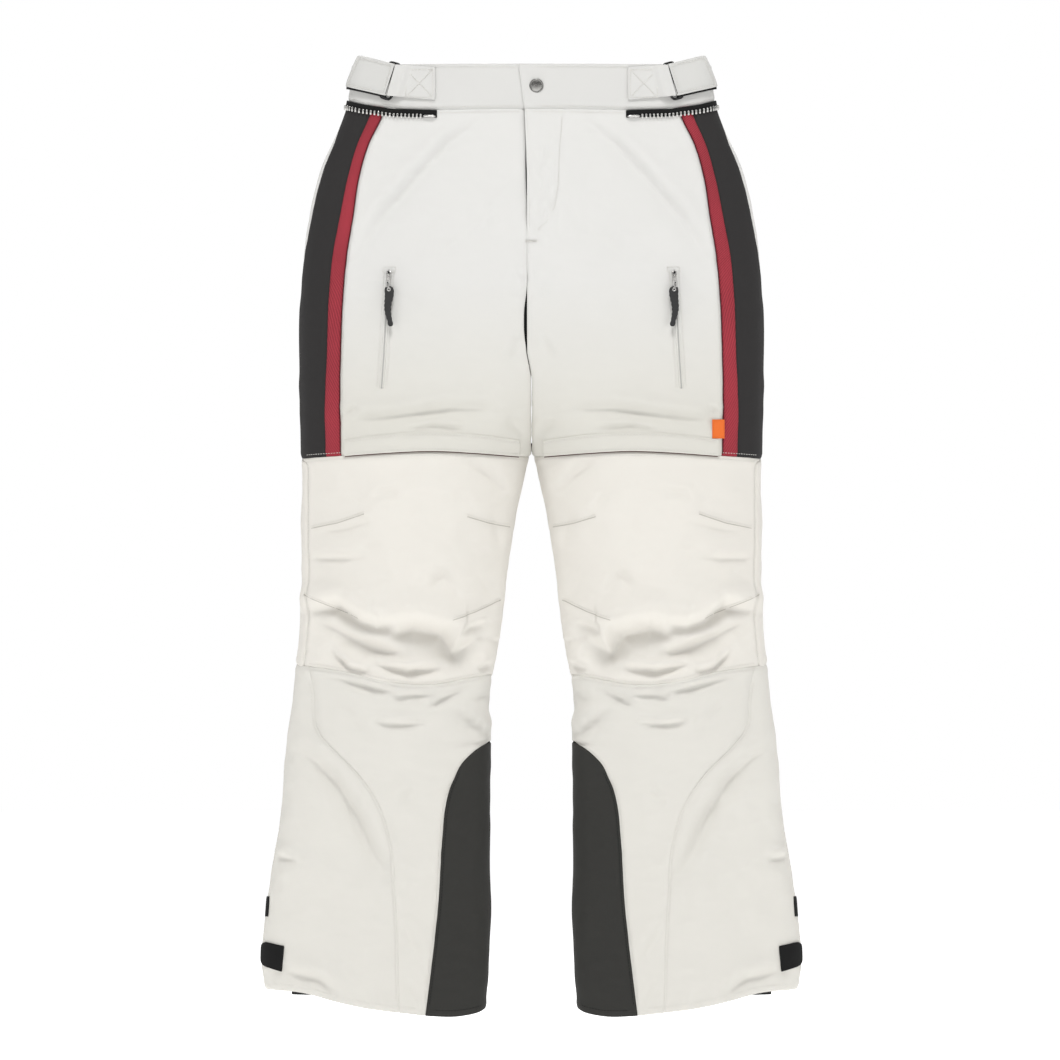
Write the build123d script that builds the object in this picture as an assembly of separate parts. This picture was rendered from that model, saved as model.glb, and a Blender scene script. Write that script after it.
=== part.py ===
from build123d import *
import os
from math import atan, cos, radians, sin, tan

# Ski pants, standing upright and filled out as if worn. Millimetres.
# +Z is up, the front faces -Y and the wearer's left leg is on +X. The origin is the
# centre of the waist opening at the top edge of the waistband. The left half is
# modelled and mirrored; only the fly and the sewn-in label are one-sided.

# Driving dimensions
FABRIC = 2.0            # shell fabric with its backing and lining
BAND = 3.0              # waistband, two layers and a stiffener
SEAM = 0.3              # clearance between neighbouring panels
BAND_HEIGHT = 48.0
LEG_SPLIT = -434.0      # zip round the thigh, above the knee
KNEE_SEAM = -685.0
STRIPE_FRONT = [(163, -40), (182, -90), (193, -130), (203, -200), (211, -300), (213, -445)]
STRIPE_SIDE = [(177, -40), (196, -90), (207, -130), (220, -200), (227, -300), (231, -445)]
CALF_CURVE = [(250, -665), (236, -745), (196, -785), (170, -830), (153, -930), (147, -1080)]
GUARD_CURVE = [(40, -755), (74, -775), (92, -810), (101, -886), (105, -945), (120, -1080)]
HEM_LINE = [(40, -1050), (78, -1061), (138, -1058), (225, -1044), (250, -1036), (310, -1030)]
FLY_FOOT = (-6.0, -186.0)   # bar-tack at the bottom of the fly
FLY_TOP = (40.0, 0.0)       # upper end of the line the fly flap folds back on
FLY_EDGE_TOP = (-14.4, 0.0)
FLY_EDGE_SEAM = (-8.0, -48.0)
FLY_GAP = 1.6               # clearance between the fly's free edge and the other side
FLAP_TIP = 7.0              # how far above the bar-tack the fly flap ends
SNAP = (5.4, -24.5)
SNAP_RADIUS = 8.0
POCKET_TOP = (158.0, -230.0)
POCKET_LENGTH = 132.0
POCKET_TILT = 3.7
POCKET_LEAN = -4.4          # slope of the thigh under the pocket's slider
BAG = [(118, -212), (176, -212), (198, -290), (196, -392), (112, -392)]
BAG_DEPTH = (-4.2, -2.8)
SNAP_LEAN = 85.2
SNAP_HOLE = 1.7
STUD_DEPTH = 5.3
UNDERLAP_DEPTH = (-9.2, -7.2)
FLY_ZIP_DEPTH = (-7.0, -6.2)
FLY_ZIP_X = 7.0
FLY_LEAN = -3.8             # slope of the front behind the fly
STRAP = [(152.5, 0), (194.5, 11), (209, -23.5), (162.5, -34.5)]
TAB = [(108, -4), (143.5, -4), (153.5, -39), (108, -39)]
RING_CENTRE = (155.0, -18.0)
RING_SIZE = (13.0, 42.0)
RING_WIRE = 2.5
RING_TILT = 16.0
LOOP_X = (95.0, 135.0)      # hanger loop inside the back of the waistband
LOOP_GAP = 0.6
LOOP_TAPE = 1.5
TAPE_END = 105.0            # jacket zip's front ends: its tape and its teeth
TEETH_END = 121.0
THIGH_FLAP = [
    (14.5, -418), (110, -410), (208, -417.5), (208, -437), (110, -436), (14.5, -437),
]
LEG_ZIP_DEPTH = (-3.8, -2.4)
GAITER_CLOTH = 1.2

# Outline of the garment at each height: z, outer x, inner x, front depth, back depth,
# radius of the rounded ends. Above the crotch the outline runs on across the centre.
UPPER = [
    (18, 199, -199, 48, 44, 26),
    (0, 201, -201, 49, 46, 26),
    (-48, 207, -207, 53, 52, 28),
    (-75, 217, -217, 55, 57, 29),
    (-110, 234, -234, 58, 64, 31),
    (-160, 247, -247, 60, 72, 33),
    (-230, 256, -256, 63, 76, 35),
    (-330, 260, -110, 66, 78, 37),
    (-380, 259, -50, 68, 78, 38),
    (-415, 257.5, -15, 70, 77, 38),
    (-434, 257, 1, 71, 76, 38),
]
LOWER = [
    (-434, 257, 1, 71, 76, 38),
    (-460, 257, 8, 70, 73, 37),
    (-520, 257, 20, 66, 62, 35),
    (-560, 257, 26, 63, 55, 33),
    (-600, 257.5, 31, 59, 51, 31),
    (-645, 260, 36, 54, 50, 30),
    (-685, 265, 43, 51, 50, 30),
    (-700, 266.5, 46, 50, 50, 30),
    (-765, 275, 46, 47, 50, 29),
    (-830, 279, 46, 44, 48, 28),
    (-900, 290.5, 46, 41, 46, 27),
    (-960, 299, 46, 39, 44, 26),
    (-1010, 301, 47, 37, 42, 25),
    (-1045, 296, 50, 36, 41, 24),
    (-1080, 290, 52, 35, 40, 24),
]
GAITER = [
    (-880, 283, 52, 36, 40, 22),
    (-960, 281, 70, 32, 36, 20),
    (-1037, 268, 92, 27, 30, 16),
]
CROTCH_STATION = 8          # UPPER up to here covers the fly
THIGH_STATION = 6           # UPPER from here on covers the zip round the thigh
BIG = 3000.0                # far outside the garment


def arcs(outer, inner, depth, corner):
    """Centre x, half width, and the angle and radius of the wide arc of one face."""
    half = (outer - inner) / 2
    turn = 2 * atan((depth - corner) / (half - corner))
    return (outer + inner) / 2, half, turn, depth + (half - corner) / tan(turn)


def end_arc(start, end, radius):
    """Anticlockwise arc of a rounded end, between two points at one height."""
    return RadiusArc(start, end, -radius)


def outline(station, grow):
    """Closed outline of four tangent arcs at one height, grown by an offset."""
    z, outer, inner, front, back, corner = station
    grown = (outer + grow, inner - grow)
    centre, half, turn_f, radius_f = arcs(*grown, front + grow, corner + grow)
    _, _, turn_b, radius_b = arcs(*grown, back + grow, corner + grow)
    front_y = radius_f - front - grow
    back_y = back + grow - radius_b
    right_f = (centre + radius_f * sin(turn_f), front_y - radius_f * cos(turn_f), z)
    left_f = (centre - radius_f * sin(turn_f), front_y - radius_f * cos(turn_f), z)
    right_b = (centre + radius_b * sin(turn_b), back_y + radius_b * cos(turn_b), z)
    left_b = (centre - radius_b * sin(turn_b), back_y + radius_b * cos(turn_b), z)
    right = (centre + half, 0, z)
    left = (centre - half, 0, z)
    return Wire([
        end_arc(right_f, right, corner + grow),
        end_arc(right, right_b, corner + grow),
        ThreePointArc(right_b, (centre, back + grow, z), left_b),
        end_arc(left_b, left, corner + grow),
        end_arc(left, left_f, corner + grow),
        ThreePointArc(left_f, (centre, -front - grow, z), right_f),
    ])


def skin(stations, low, high):
    """Shell between two offsets of the garment's outline, through all stations."""
    outside = Solid.make_loft([outline(s, high) for s in stations], ruled=True)
    inside = Solid.make_loft([outline(s, low) for s in stations], ruled=True)
    return outside - inside


def front_depth(x, z):
    """Distance of the front surface in front of the XZ plane."""
    for top, low in zip(UPPER, UPPER[1:]):
        if low[0] <= z <= top[0]:
            t = (top[0] - z) / (top[0] - low[0])
            _, outer, inner, front, _, corner = [a + (b - a) * t for a, b in zip(top, low)]
            centre, _, _, radius = arcs(outer, inner, front, corner)
            return front - radius + (radius ** 2 - (x - centre) ** 2) ** 0.5


def prism(edges, side):
    """Outline in the XZ plane, extruded to the front (-1), the back (1) or both (0)."""
    solid = extrude(make_face(edges), BIG / 2, dir=(0, 1, 0), both=True)
    if side == 0:
        return solid
    keep = Pos(0, side * (BIG / 4 + SEAM / 2), 0) * Box(BIG, BIG / 2, BIG)
    return solid & keep


def polygon(points, side=-1):
    corners = [(x, 0, z) for x, z in points]
    return prism(Polyline(*corners, close=True), side)


def right_of(curve, shift):
    """Everything at larger x than a curve, moved over by half the seam clearance."""
    points = [(x + shift, 0, z) for x, z in curve]
    run = Spline(*points)
    top = (BIG / 2, 0, points[0][2])
    low = (BIG / 2, 0, points[-1][2])
    return prism(run + Polyline(points[-1], low, top, points[0]), 0)


def slab(z_high, z_low, x_low=0.5, x_high=BIG / 2, side=0):
    """Box between two heights, on the wearer's left unless x_low says otherwise."""
    return polygon([(x_low, z_high), (x_high, z_high), (x_high, z_low), (x_low, z_low)], side)


def tilted(x, z, width, height, angle, side=-1):
    """Rectangle in the XZ plane, turned about its centre, as a prism."""
    turn = Rot(0, angle, 0)
    corners = [(-1, 1), (1, 1), (1, -1), (-1, -1)]
    points = [turn * Pos(i * width / 2, 0, j * height / 2) for i, j in corners]
    return polygon([(x + p.position.X, z + p.position.Z) for p in points], side)


parts = {}


def both_sides(name, solid):
    """Keeps the wearer's left piece and its mirror image on the right."""
    parts[name + "_left"] = solid
    parts[name + "_right"] = mirror(solid, about=Plane.YZ)


def fold_line(z):
    """x of the line on which the fly flap folds back, at height z."""
    t = (z - FLY_FOOT[1]) / (FLY_TOP[1] - FLY_FOOT[1])
    return FLY_FOOT[0] + (FLY_TOP[0] - FLY_FOOT[0]) * t


def waistband():
    band = skin(UPPER[:4], -BAND, 0)
    low = -BAND_HEIGHT + SEAM
    fold_top = fold_line(0)
    fold_low = fold_line(low)
    left = polygon([(fold_top + SEAM, 0), (BIG / 2, 0), (BIG / 2, low), (fold_low + SEAM, low)])
    edge_low = FLY_EDGE_SEAM[0]
    edge_top = FLY_EDGE_TOP[0]
    right = polygon([
        (edge_top - FLY_GAP, 0), (-BIG / 2, 0), (-BIG / 2, low), (edge_low - FLY_GAP, low),
    ])
    overlap = polygon([
        (edge_top, 0), (fold_top - SEAM, 0), (fold_low - SEAM, low), (edge_low, low),
    ])
    parts["waistband_front_left"] = band & left
    parts["waistband_front_right"] = band & right
    parts["waistband_back"] = band & slab(0, low, -BIG / 2, side=1)
    hole = Pos(SNAP[0], -UPPER[1][3], SNAP[1]) * Rot(SNAP_LEAN, 0, 0) * Cylinder(SNAP_HOLE, 20)
    parts["waistband_overlap"] = (band & overlap) - hole
    loops = skin(UPPER[:3], -BAND - LOOP_GAP - LOOP_TAPE, -BAND - LOOP_GAP)
    loop = slab(-6, -20, *LOOP_X, side=1)
    parts["hanger_loops"] = Compound(children=[loops & loop, loops & mirror(loop, about=Plane.YZ)])


def upper_panels():
    shell = skin(UPPER, -FABRIC, 0)
    height = slab(-BAND_HEIGHT, LEG_SPLIT + SEAM / 2)
    half = shell & height
    front = half & slab(0, LEG_SPLIT, side=-1)
    outside_front = right_of(STRIPE_FRONT, SEAM / 2)
    outside_side = right_of(STRIPE_SIDE, SEAM / 2)
    main = front - right_of(STRIPE_FRONT, -SEAM / 2)
    stripe = (front & outside_front) - right_of(STRIPE_SIDE, -SEAM / 2)
    both_sides("back_panel", half & slab(0, LEG_SPLIT, side=1))
    both_sides("side_panel", front & outside_side)
    both_sides("side_stripe", stripe)
    foot_x, foot_z = FLY_FOOT
    above = -BAND_HEIGHT + 8
    fold_cut = polygon([
        (-50, above), (fold_line(above) + SEAM, above), (foot_x + SEAM, foot_z), (-50, foot_z),
    ])
    parts["front_panel_left"] = main - fold_cut
    other = mirror(main, about=Plane.YZ)
    edge_x = FLY_EDGE_SEAM[0] - FLY_GAP
    edge_cut = polygon([(edge_x, above), (50, above), (50, foot_z), (foot_x - FLY_GAP, foot_z)])
    parts["front_panel_right"] = other - edge_cut
    seam_x = FLY_EDGE_SEAM[0]
    top = -BAND_HEIGHT
    tip_z = foot_z + FLAP_TIP
    flap = polygon([(seam_x, top), (fold_line(top) - SEAM, top), (fold_line(tip_z) - SEAM, tip_z)])
    parts["fly_flap"] = skin(UPPER[1:CROTCH_STATION], -FABRIC, 0) & flap


def fly():
    underlap = skin(UPPER[:CROTCH_STATION], *UNDERLAP_DEPTH)
    parts["fly_underlap"] = underlap & slab(-2, FLY_FOOT[1] - 6, -22, 24, side=-1)
    zip_skin = skin(UPPER[1:CROTCH_STATION], *FLY_ZIP_DEPTH)
    parts["fly_zip"] = zip_skin & slab(-52, FLY_FOOT[1] - 4, -6, 20, side=-1)
    snap_y = -front_depth(*SNAP)
    stud = Pos(SNAP[0], snap_y + STUD_DEPTH, SNAP[1]) * Rot(90, 0, 0) * Cylinder(5, 2.6)
    parts["snap_stud"] = stud
    parts["snap_cap"] = Pos(SNAP[0], snap_y - SEAM, SNAP[1]) * Rot(SNAP_LEAN, 0, 0) * snap_cap()
    zip_y = -front_depth(FLY_ZIP_X, -60)
    lean = Rot(FLY_LEAN, 0, 0)
    parts["fly_slider"] = Pos(FLY_ZIP_X, zip_y + 4.6, -60) * lean * Box(9, 1.0, 11)
    parts["fly_puller"] = Pos(FLY_ZIP_X, zip_y + 3.0, -79) * lean * Box(6, 1.0, 24)


def snap_cap():
    """Domed press-stud cap with its shank, the cap's base on the XY plane."""
    cap = Pos(0, 0, 1.2) * Cylinder(SNAP_RADIUS, 2.4)
    cap = fillet(cap.edges().group_by(Axis.Z)[-1], 1.8)
    shank = Pos(0, 0, -1.7) * Cylinder(1.3, 3.6)
    return cap + shank


def pockets():
    x, z = POCKET_TOP
    mid_x = x + sin(radians(POCKET_TILT)) * POCKET_LENGTH / 2
    mid_z = z - POCKET_LENGTH / 2
    strip = tilted(mid_x, mid_z, 6, POCKET_LENGTH, -POCKET_TILT)
    both_sides("pocket_zip", skin(UPPER, 0.3, 1.3) & strip)
    both_sides("pocket_bag", skin(UPPER, *BAG_DEPTH) & polygon(BAG))
    y = -front_depth(x, z - 6)
    lean = Rot(POCKET_LEAN, -POCKET_TILT, 0)
    slider = Pos(x + 0.5, y - 3.3, z - 7) * lean * Box(9, 2.4, 13)
    both_sides("pocket_slider", slider)
    pull = Pos(x + 2.6, y - 8.6, z - 39.5) * lean * Box(10, 3, 50)
    both_sides("pocket_puller", pull)


def waist_adjusters():
    both_sides("waist_tab", skin(UPPER[:4], 0.4, 2.2) & polygon(TAB))
    width, height = RING_SIZE
    outer = tilted(*RING_CENTRE, width, height, -RING_TILT)
    window = tilted(*RING_CENTRE, width - 2 * RING_WIRE, height - 2 * RING_WIRE, -RING_TILT)
    both_sides("waist_ring", skin(UPPER[:4], 1.0, 3.4) & (outer - window))
    both_sides("waist_strap", skin(UPPER[:4], 4.2, 6.2) & polygon(STRAP))


def jacket_zip():
    """Zip round the waistband that a jacket's skirt joins, open across the front."""
    whole = -BIG / 2
    front_gap = slab(-30, -70, -TAPE_END, TAPE_END, side=-1)
    tape = slab(-44, -54, whole) - front_gap
    parts["jacket_zip_tape"] = skin(UPPER[1:5], 0.5, 1.5) & tape
    teeth_gap = slab(-30, -70, -TEETH_END, TEETH_END, side=-1)
    teeth = slab(-54.3, -59, whole) - teeth_gap
    parts["jacket_zip_teeth"] = skin(UPPER[1:5], 0.5, 2.7) & teeth


def thigh_zip():
    thigh = UPPER[THIGH_STATION:]
    both_sides("thigh_flap", skin(thigh, 0.8, 2.6) & polygon(THIGH_FLAP))
    both_sides("leg_zip_upper", skin(thigh, *LEG_ZIP_DEPTH) & slab(-422, LEG_SPLIT + 0.5, 8))
    both_sides("leg_zip_lower", skin(LOWER[:5], *LEG_ZIP_DEPTH) & slab(LEG_SPLIT - 0.5, -446, 8))
    parts["side_label"] = skin(thigh, 0.4, 1.2) & slab(-396, -416.8, 201.4, 214.8, side=-1)


def guard_region(shift):
    """Everything the scuff guard covers at the inner ankle, grown by a shift."""
    points = [(x + shift, 0, z + shift) for x, z in GUARD_CURVE]
    top = (0, 0, points[0][2])
    low = (0, 0, points[-1][2])
    return prism(Spline(*points) + Polyline(points[-1], low, top, points[0]), 0)


def lower_legs():
    shell = skin(LOWER, -FABRIC, 0)
    knee = shell & slab(LEG_SPLIT - SEAM / 2, KNEE_SEAM + SEAM / 2)
    both_sides("knee_front", knee & slab(LEG_SPLIT, KNEE_SEAM, side=-1))
    both_sides("knee_back", knee & slab(LEG_SPLIT, KNEE_SEAM, side=1))
    points = [(x, 0, z) for x, z in HEM_LINE]
    top = KNEE_SEAM - SEAM / 2
    corners = Polyline(points[-1], (points[-1][0], 0, top), (points[0][0], 0, top), points[0])
    shin = shell & prism(Spline(*points) + corners, 0)
    rest = shin - guard_region(SEAM / 2)
    front = rest & slab(KNEE_SEAM, -BIG / 2, side=-1)
    both_sides("scuff_guard", shin & guard_region(-SEAM / 2))
    both_sides("calf_side", front & right_of(CALF_CURVE, SEAM / 2))
    both_sides("calf_front", front - right_of(CALF_CURVE, -SEAM / 2))
    both_sides("calf_back", rest & slab(KNEE_SEAM, -BIG / 2, side=1))
    outside = Solid.make_loft([outline(s, 0) for s in GAITER])
    inside = Solid.make_loft([outline(s, -GAITER_CLOTH) for s in GAITER])
    both_sides("snow_gaiter", outside - inside)
    tab = slab(-981, -1009, 276, 320, side=-1)
    both_sides("ankle_tab", skin(LOWER[8:], 0.5, 2.5) & tab)


waistband()
upper_panels()
fly()
pockets()
waist_adjusters()
jacket_zip()
thigh_zip()
lower_legs()
os.makedirs("parts", exist_ok=True)
for name, shape in parts.items():
    export_step(shape, f"parts/{name}.step")
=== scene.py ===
import math
import bpy
import numpy as np
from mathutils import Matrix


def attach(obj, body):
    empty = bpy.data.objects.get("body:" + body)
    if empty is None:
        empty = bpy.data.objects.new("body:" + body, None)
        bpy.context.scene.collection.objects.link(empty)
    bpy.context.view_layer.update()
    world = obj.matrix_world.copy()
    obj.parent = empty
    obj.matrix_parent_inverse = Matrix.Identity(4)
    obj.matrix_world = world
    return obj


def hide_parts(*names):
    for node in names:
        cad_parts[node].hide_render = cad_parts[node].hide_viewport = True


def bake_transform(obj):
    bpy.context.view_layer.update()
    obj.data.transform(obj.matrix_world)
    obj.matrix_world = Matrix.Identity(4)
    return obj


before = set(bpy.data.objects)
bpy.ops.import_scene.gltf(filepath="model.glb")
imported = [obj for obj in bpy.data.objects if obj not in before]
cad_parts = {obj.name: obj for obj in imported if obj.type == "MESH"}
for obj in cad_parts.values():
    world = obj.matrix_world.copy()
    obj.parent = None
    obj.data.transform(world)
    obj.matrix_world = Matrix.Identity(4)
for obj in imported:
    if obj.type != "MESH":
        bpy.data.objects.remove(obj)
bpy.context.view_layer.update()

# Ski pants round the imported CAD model. Lengths here are millimetres and become metres when a
# mesh is made. The front faces -Y, the wearer's left leg is on +X, the waistband's top is z 0.
# x in every table is the distance from the centre line, for the left and the right half alike.
MM = 0.001
CLOTH = 1.5          # thickness of the shell cloth
CELL = 2.6           # size of a mesh cell on the big panels
SEAM_GAP = 0.3       # how far a panel's edge stays back from its seam line
LEFT, RIGHT = 1, -1

# Outline of the garment at each height: z, outer x, inner x, front depth, back depth, end radius
OUTLINE = np.array([
    (-1080, 290, 52, 35, 40, 24), (-1045, 296, 50, 36, 41, 24), (-1010, 301, 47, 37, 42, 25),
    (-960, 299, 46, 39, 44, 26), (-900, 290.5, 46, 41, 46, 27), (-830, 279, 46, 44, 48, 28),
    (-765, 275, 46, 47, 50, 29), (-700, 266.5, 46, 50, 50, 30), (-645, 260, 36, 54, 50, 30),
    (-600, 257.5, 31, 59, 51, 31), (-560, 257, 26, 63, 55, 33), (-520, 257, 20, 66, 62, 35),
    (-460, 257, 8, 70, 73, 37), (-434, 257, 1, 71, 76, 38), (-415, 257.5, -15, 70, 77, 38),
    (-380, 259, -50, 68, 78, 38), (-330, 260, -110, 66, 78, 37), (-230, 256, -256, 63, 76, 35),
    (-160, 247, -247, 60, 72, 33), (-110, 234, -234, 58, 64, 31), (-75, 217, -217, 55, 57, 29),
    (-48, 207, -207, 53, 52, 28), (0, 201, -201, 49, 46, 26), (30, 198, -198, 47, 43, 26),
], float)


def hermite(z, heights, values):
    """Smooth curve through values at heights."""
    slope = np.gradient(values, heights)
    i = np.clip(np.searchsorted(heights, z) - 1, 0, len(heights) - 2)
    span = heights[i + 1] - heights[i]
    t = (z - heights[i]) / span
    a = (2 * t ** 3 - 3 * t ** 2 + 1) * values[i] + (t ** 3 - 2 * t ** 2 + t) * span * slope[i]
    b = (3 * t ** 2 - 2 * t ** 3) * values[i + 1] + (t ** 3 - t ** 2) * span * slope[i + 1]
    return a + b


DENSE_Z = np.arange(-1080.0, 30.5, 2.0)
DENSE = [hermite(DENSE_Z, OUTLINE[:, 0], OUTLINE[:, k]) for k in range(1, 6)]


class Ring:
    """Half outline, front or back, at heights z, grown outwards by an offset."""

    def __init__(self, z, face, grow=0.0):
        outer, inner, front, back, corner = [np.interp(z, DENSE_Z, column) for column in DENSE]
        depth = (front if face == "front" else back) + grow
        self.corner = corner + grow
        self.centre = (outer + inner) / 2
        self.half = (outer - inner) / 2 + grow
        self.turn = 2 * np.arctan((depth - self.corner) / (self.half - self.corner))
        self.radius = depth + (self.half - self.corner) / np.tan(self.turn)
        self.back = self.radius - depth
        self.wide = self.radius * self.turn
        self.end = self.corner * (math.pi / 2 - self.turn)
        self.sign = -1.0 if face == "front" else 1.0

    def place(self, s):
        """x, y and outward normal at arc length s from the middle of the outline."""
        side = np.sign(s)
        far = np.abs(s)
        phi = np.minimum(far / self.radius, self.turn)
        rest = np.maximum(far - self.wide, 0)
        psi = self.turn + np.minimum(rest / self.corner, math.pi / 2 - self.turn)
        wide = far <= self.wide
        angle = np.where(wide, phi, psi)
        reach = np.where(wide, self.radius * np.sin(phi),
                         self.half - self.corner + self.corner * np.sin(psi))
        depth = np.where(wide, self.radius * np.cos(phi) - self.back, self.corner * np.cos(psi))
        x = self.centre + side * reach
        return x, self.sign * depth, side * np.sin(angle), self.sign * np.cos(angle)

    def along(self, x):
        """Arc length at which the outline has this x."""
        dx = np.abs(x - self.centre)
        phi = np.arcsin(np.clip(dx / self.radius, -1, 1))
        near_end = (dx - self.half + self.corner) / self.corner
        psi = np.arcsin(np.clip(near_end, -1, 1))
        s = np.where(phi <= self.turn, self.radius * phi, self.wide + self.corner * (psi - self.turn))
        s = np.minimum(s, self.wide + self.end)
        return np.sign(x - self.centre) * s

    @property
    def full(self):
        return self.wide + self.end


def bell(value, middle, width):
    """1 at the middle, falling off smoothly on both sides."""
    return np.exp(-((value - middle) / width) ** 2)


def between(value, zero_at, one_at):
    """Straight rise from 0 to 1 between two places, and flat beyond them."""
    return np.clip((value - zero_at) / (one_at - zero_at), 0, 1)


def smooth(t):
    """Eases a share from 0 to 1 in and out."""
    return t * t * (3 - 2 * t)


def noise(u, v, seed):
    """Smooth value noise from -1 to 1, the same every run."""
    iu, iv = np.floor(u), np.floor(v)
    fu, fv = smooth(u - iu), smooth(v - iv)

    def corner(a, b):
        h = np.sin(a * 127.1 + b * 311.7 + seed * 74.7) * 43758.5453
        return 2 * (h - np.floor(h)) - 1

    low = corner(iu, iv) * (1 - fu) + corner(iu + 1, iv) * fu
    high = corner(iu, iv + 1) * (1 - fu) + corner(iu + 1, iv + 1) * fu
    return low * (1 - fv) + high * fv


def fold(x, z, path, width, height, drag=0.0):
    """A soft fold along a path: height above the cloth (below if negative), fading at its ends.
    drag adds an opposite swell on the upper side of the path."""
    path = np.array(path, float)
    steps = np.diff(path, axis=0)
    lengths = np.hypot(steps[:, 0], steps[:, 1])
    total = lengths.sum()
    best = np.full(x.shape, 1e9)
    side = np.zeros(x.shape)
    done = np.zeros(x.shape)
    start = 0.0
    for point, step, length in zip(path, steps, lengths):
        dx, dz = x - point[0], z - point[1]
        t = np.clip((dx * step[0] + dz * step[1]) / length ** 2, 0, 1)
        ex, ez = dx - t * step[0], dz - t * step[1]
        distance = np.hypot(ex, ez)
        nearer = distance < best
        best = np.where(nearer, distance, best)
        side = np.where(nearer, np.sign(ez), side)
        done = np.where(nearer, (start + t * length) / total, done)
        start += length
    fade = np.sin(np.clip(done, 0.02, 0.98) * math.pi) ** 0.6
    shape = height * np.exp(-(best / width) ** 1.25)
    if drag:
        shape = shape + drag * bell(best * side, 1.5 * width, 1.2 * width)
    return shape * fade


# Folds of the front: path of (x, z), width, height, swell above
FRONT_FOLDS = [
    ([(50, -55), (94, -89), (126, -124), (167, -170), (195, -217)], 9, -3.4, 1.4),
    ([(54, -178), (85, -196), (114, -220)], 10, -1.4, 0.5),
    ([(6, -232), (14, -262)], 7, 1.6, 0),
    ([(12, -120), (40, -150), (60, -190)], 12, -0.8, 0.4),
    ([(208, -399), (175, -396), (145, -392), (92, -385), (44, -386)], 8, -3.4, 2.2),
    ([(210, -391), (193, -382)], 5, -1.8, 0.8),
    ([(140, -409), (110, -405), (72, -408)], 5, -2.2, 1.2),
    ([(26, -395), (10, -415)], 7, -1.8, 0.9),
    ([(22, -330), (8, -300)], 8, -1.6, 0.6),
    # knee
    ([(215, -545), (170, -488), (113, -470), (62, -492), (38, -535)], 22, 1.6, 0),
    ([(178, -486), (167, -477), (148, -475)], 5, -1.4, 0.8),
    ([(71, -444), (47, -459), (29, -480)], 8, -2.4, 1.6),
    ([(84, -478), (66, -497)], 6, -1.0, 0.4),
    ([(238, -523), (205, -519), (178, -509)], 6, -2.2, 0.6),
    ([(200, -545), (160, -537)], 7, -1.2, 0.6),
    ([(246, -552), (215, -551), (180, -552)], 5, -1.8, 0.9),
    ([(42, -505), (36, -540)], 8, -1.2, 0.6),
    ([(118, -584), (98, -571), (86, -592)], 8, -1.9, 0.9),
    ([(60, -570), (40, -600)], 10, -1.2, 0.6),
    # under the knee
    ([(250, -611), (216, -605), (195, -621), (173, -628), (148, -622)], 11, -6.5, 4.0),
    ([(158, -640), (131, -628), (99, -636), (86, -657), (58, -640)], 13, -7.5, 4.6),
    ([(246, -618), (215, -634), (180, -650), (150, -660)], 9, -3.6, 2.0),
    ([(52, -622), (78, -632)], 5, -2.4, 1.4),
    ([(190, -640), (165, -652), (140, -658)], 8, -2.0, 1.2),
    ([(178, -669), (138, -676), (98, -672)], 5, -4.0, 2.6),
    ([(226, -652), (206, -672), (176, -680)], 5, -2.8, 1.8),
    ([(222, -684), (175, -695), (150, -700)], 5, -2.8, 1.8),
    ([(60, -676), (44, -668)], 5, -2.0, 1.2),
    # calf
    ([(157, -709), (135, -702), (111, -704)], 4.5, -2.6, 1.8),
    ([(113, -717), (96, -706), (80, -698)], 5, -3.0, 1.8),
    ([(176, -733), (150, -736), (122, -735)], 5, -3.0, 1.8),
    ([(212, -706), (200, -725), (189, -745)], 6, -1.8, 0.8),
    ([(84, -719), (62, -736), (46, -754)], 6, -3.4, 2.6),
    ([(48, -700), (62, -712)], 5, -1.6, 1.0),
    ([(276, -762), (247, -775), (218, -804), (196, -839), (178, -879), (152, -914)], 11, -5.0, 2.4),
    ([(150, -822), (128, -808)], 7, -1.4, 0.8),
    ([(286, -884), (262, -888)], 6, -2.6, 1.4),
    ([(282, -905), (230, -930), (190, -960)], 16, -1.2, 0.8),
    ([(278, -1012), (240, -1020), (215, -1040)], 8, -3.4, 1.6),
    ([(147, -955), (122, -1000)], 8, -1.4, 0.8),
    ([(140, -1020), (128, -1050)], 6, -1.0, 0.5),
    ([(190, -1035), (170, -1058)], 7, -1.0, 0.6),
]
# Folds of the back, which are guessed: seat, under the seat, behind the knee, calf
BACK_FOLDS = [
    ([(30, -250), (90, -300), (170, -330), (235, -335)], 14, -3.0, 1.6),
    ([(18, -320), (70, -352), (130, -362)], 10, -3.4, 2.0),
    ([(12, -380), (60, -400), (120, -398)], 9, -3.0, 1.8),
    ([(240, -395), (190, -408), (150, -404)], 8, -2.2, 1.4),
    ([(60, -90), (120, -150), (200, -180)], 14, -1.8, 0.8),
    ([(30, -520), (90, -540), (160, -528)], 9, -3.4, 2.0),
    ([(250, -540), (190, -556), (120, -560)], 9, -4.2, 2.6),
    ([(40, -575), (110, -592), (180, -584)], 9, -4.4, 2.8),
    ([(250, -604), (200, -622), (130, -628)], 8, -3.8, 2.2),
    ([(60, -650), (120, -664), (180, -658)], 7, -2.6, 1.6),
    ([(262, -720), (210, -760), (160, -830)], 12, -3.0, 1.6),
    ([(60, -760), (110, -820), (140, -900)], 14, -2.0, 1.2),
    ([(290, -960), (230, -985), (180, -1030)], 12, -2.4, 1.4),
]


FOLD_DEPTH = 2.15
UNDER_KNEE = 0.3        # how much deeper the folds are there
# Swells of the knee: x and z of the middle, half width, half height, height above the cloth
KNEE_SWELLS = [(118, -552, 80, 70, 5.0), (138, -598, 95, 24, 5.8)]
# Small wrinkles: wavelength across and down, lean of each, height, seed
WRINKLES = [(31, 24, 0.6, -0.4, 1.1, 1), (14, 10, -0.5, 0.3, 0.62, 2), (6, 5, 0.2, -0.3, 0.12, 4)]


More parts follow.
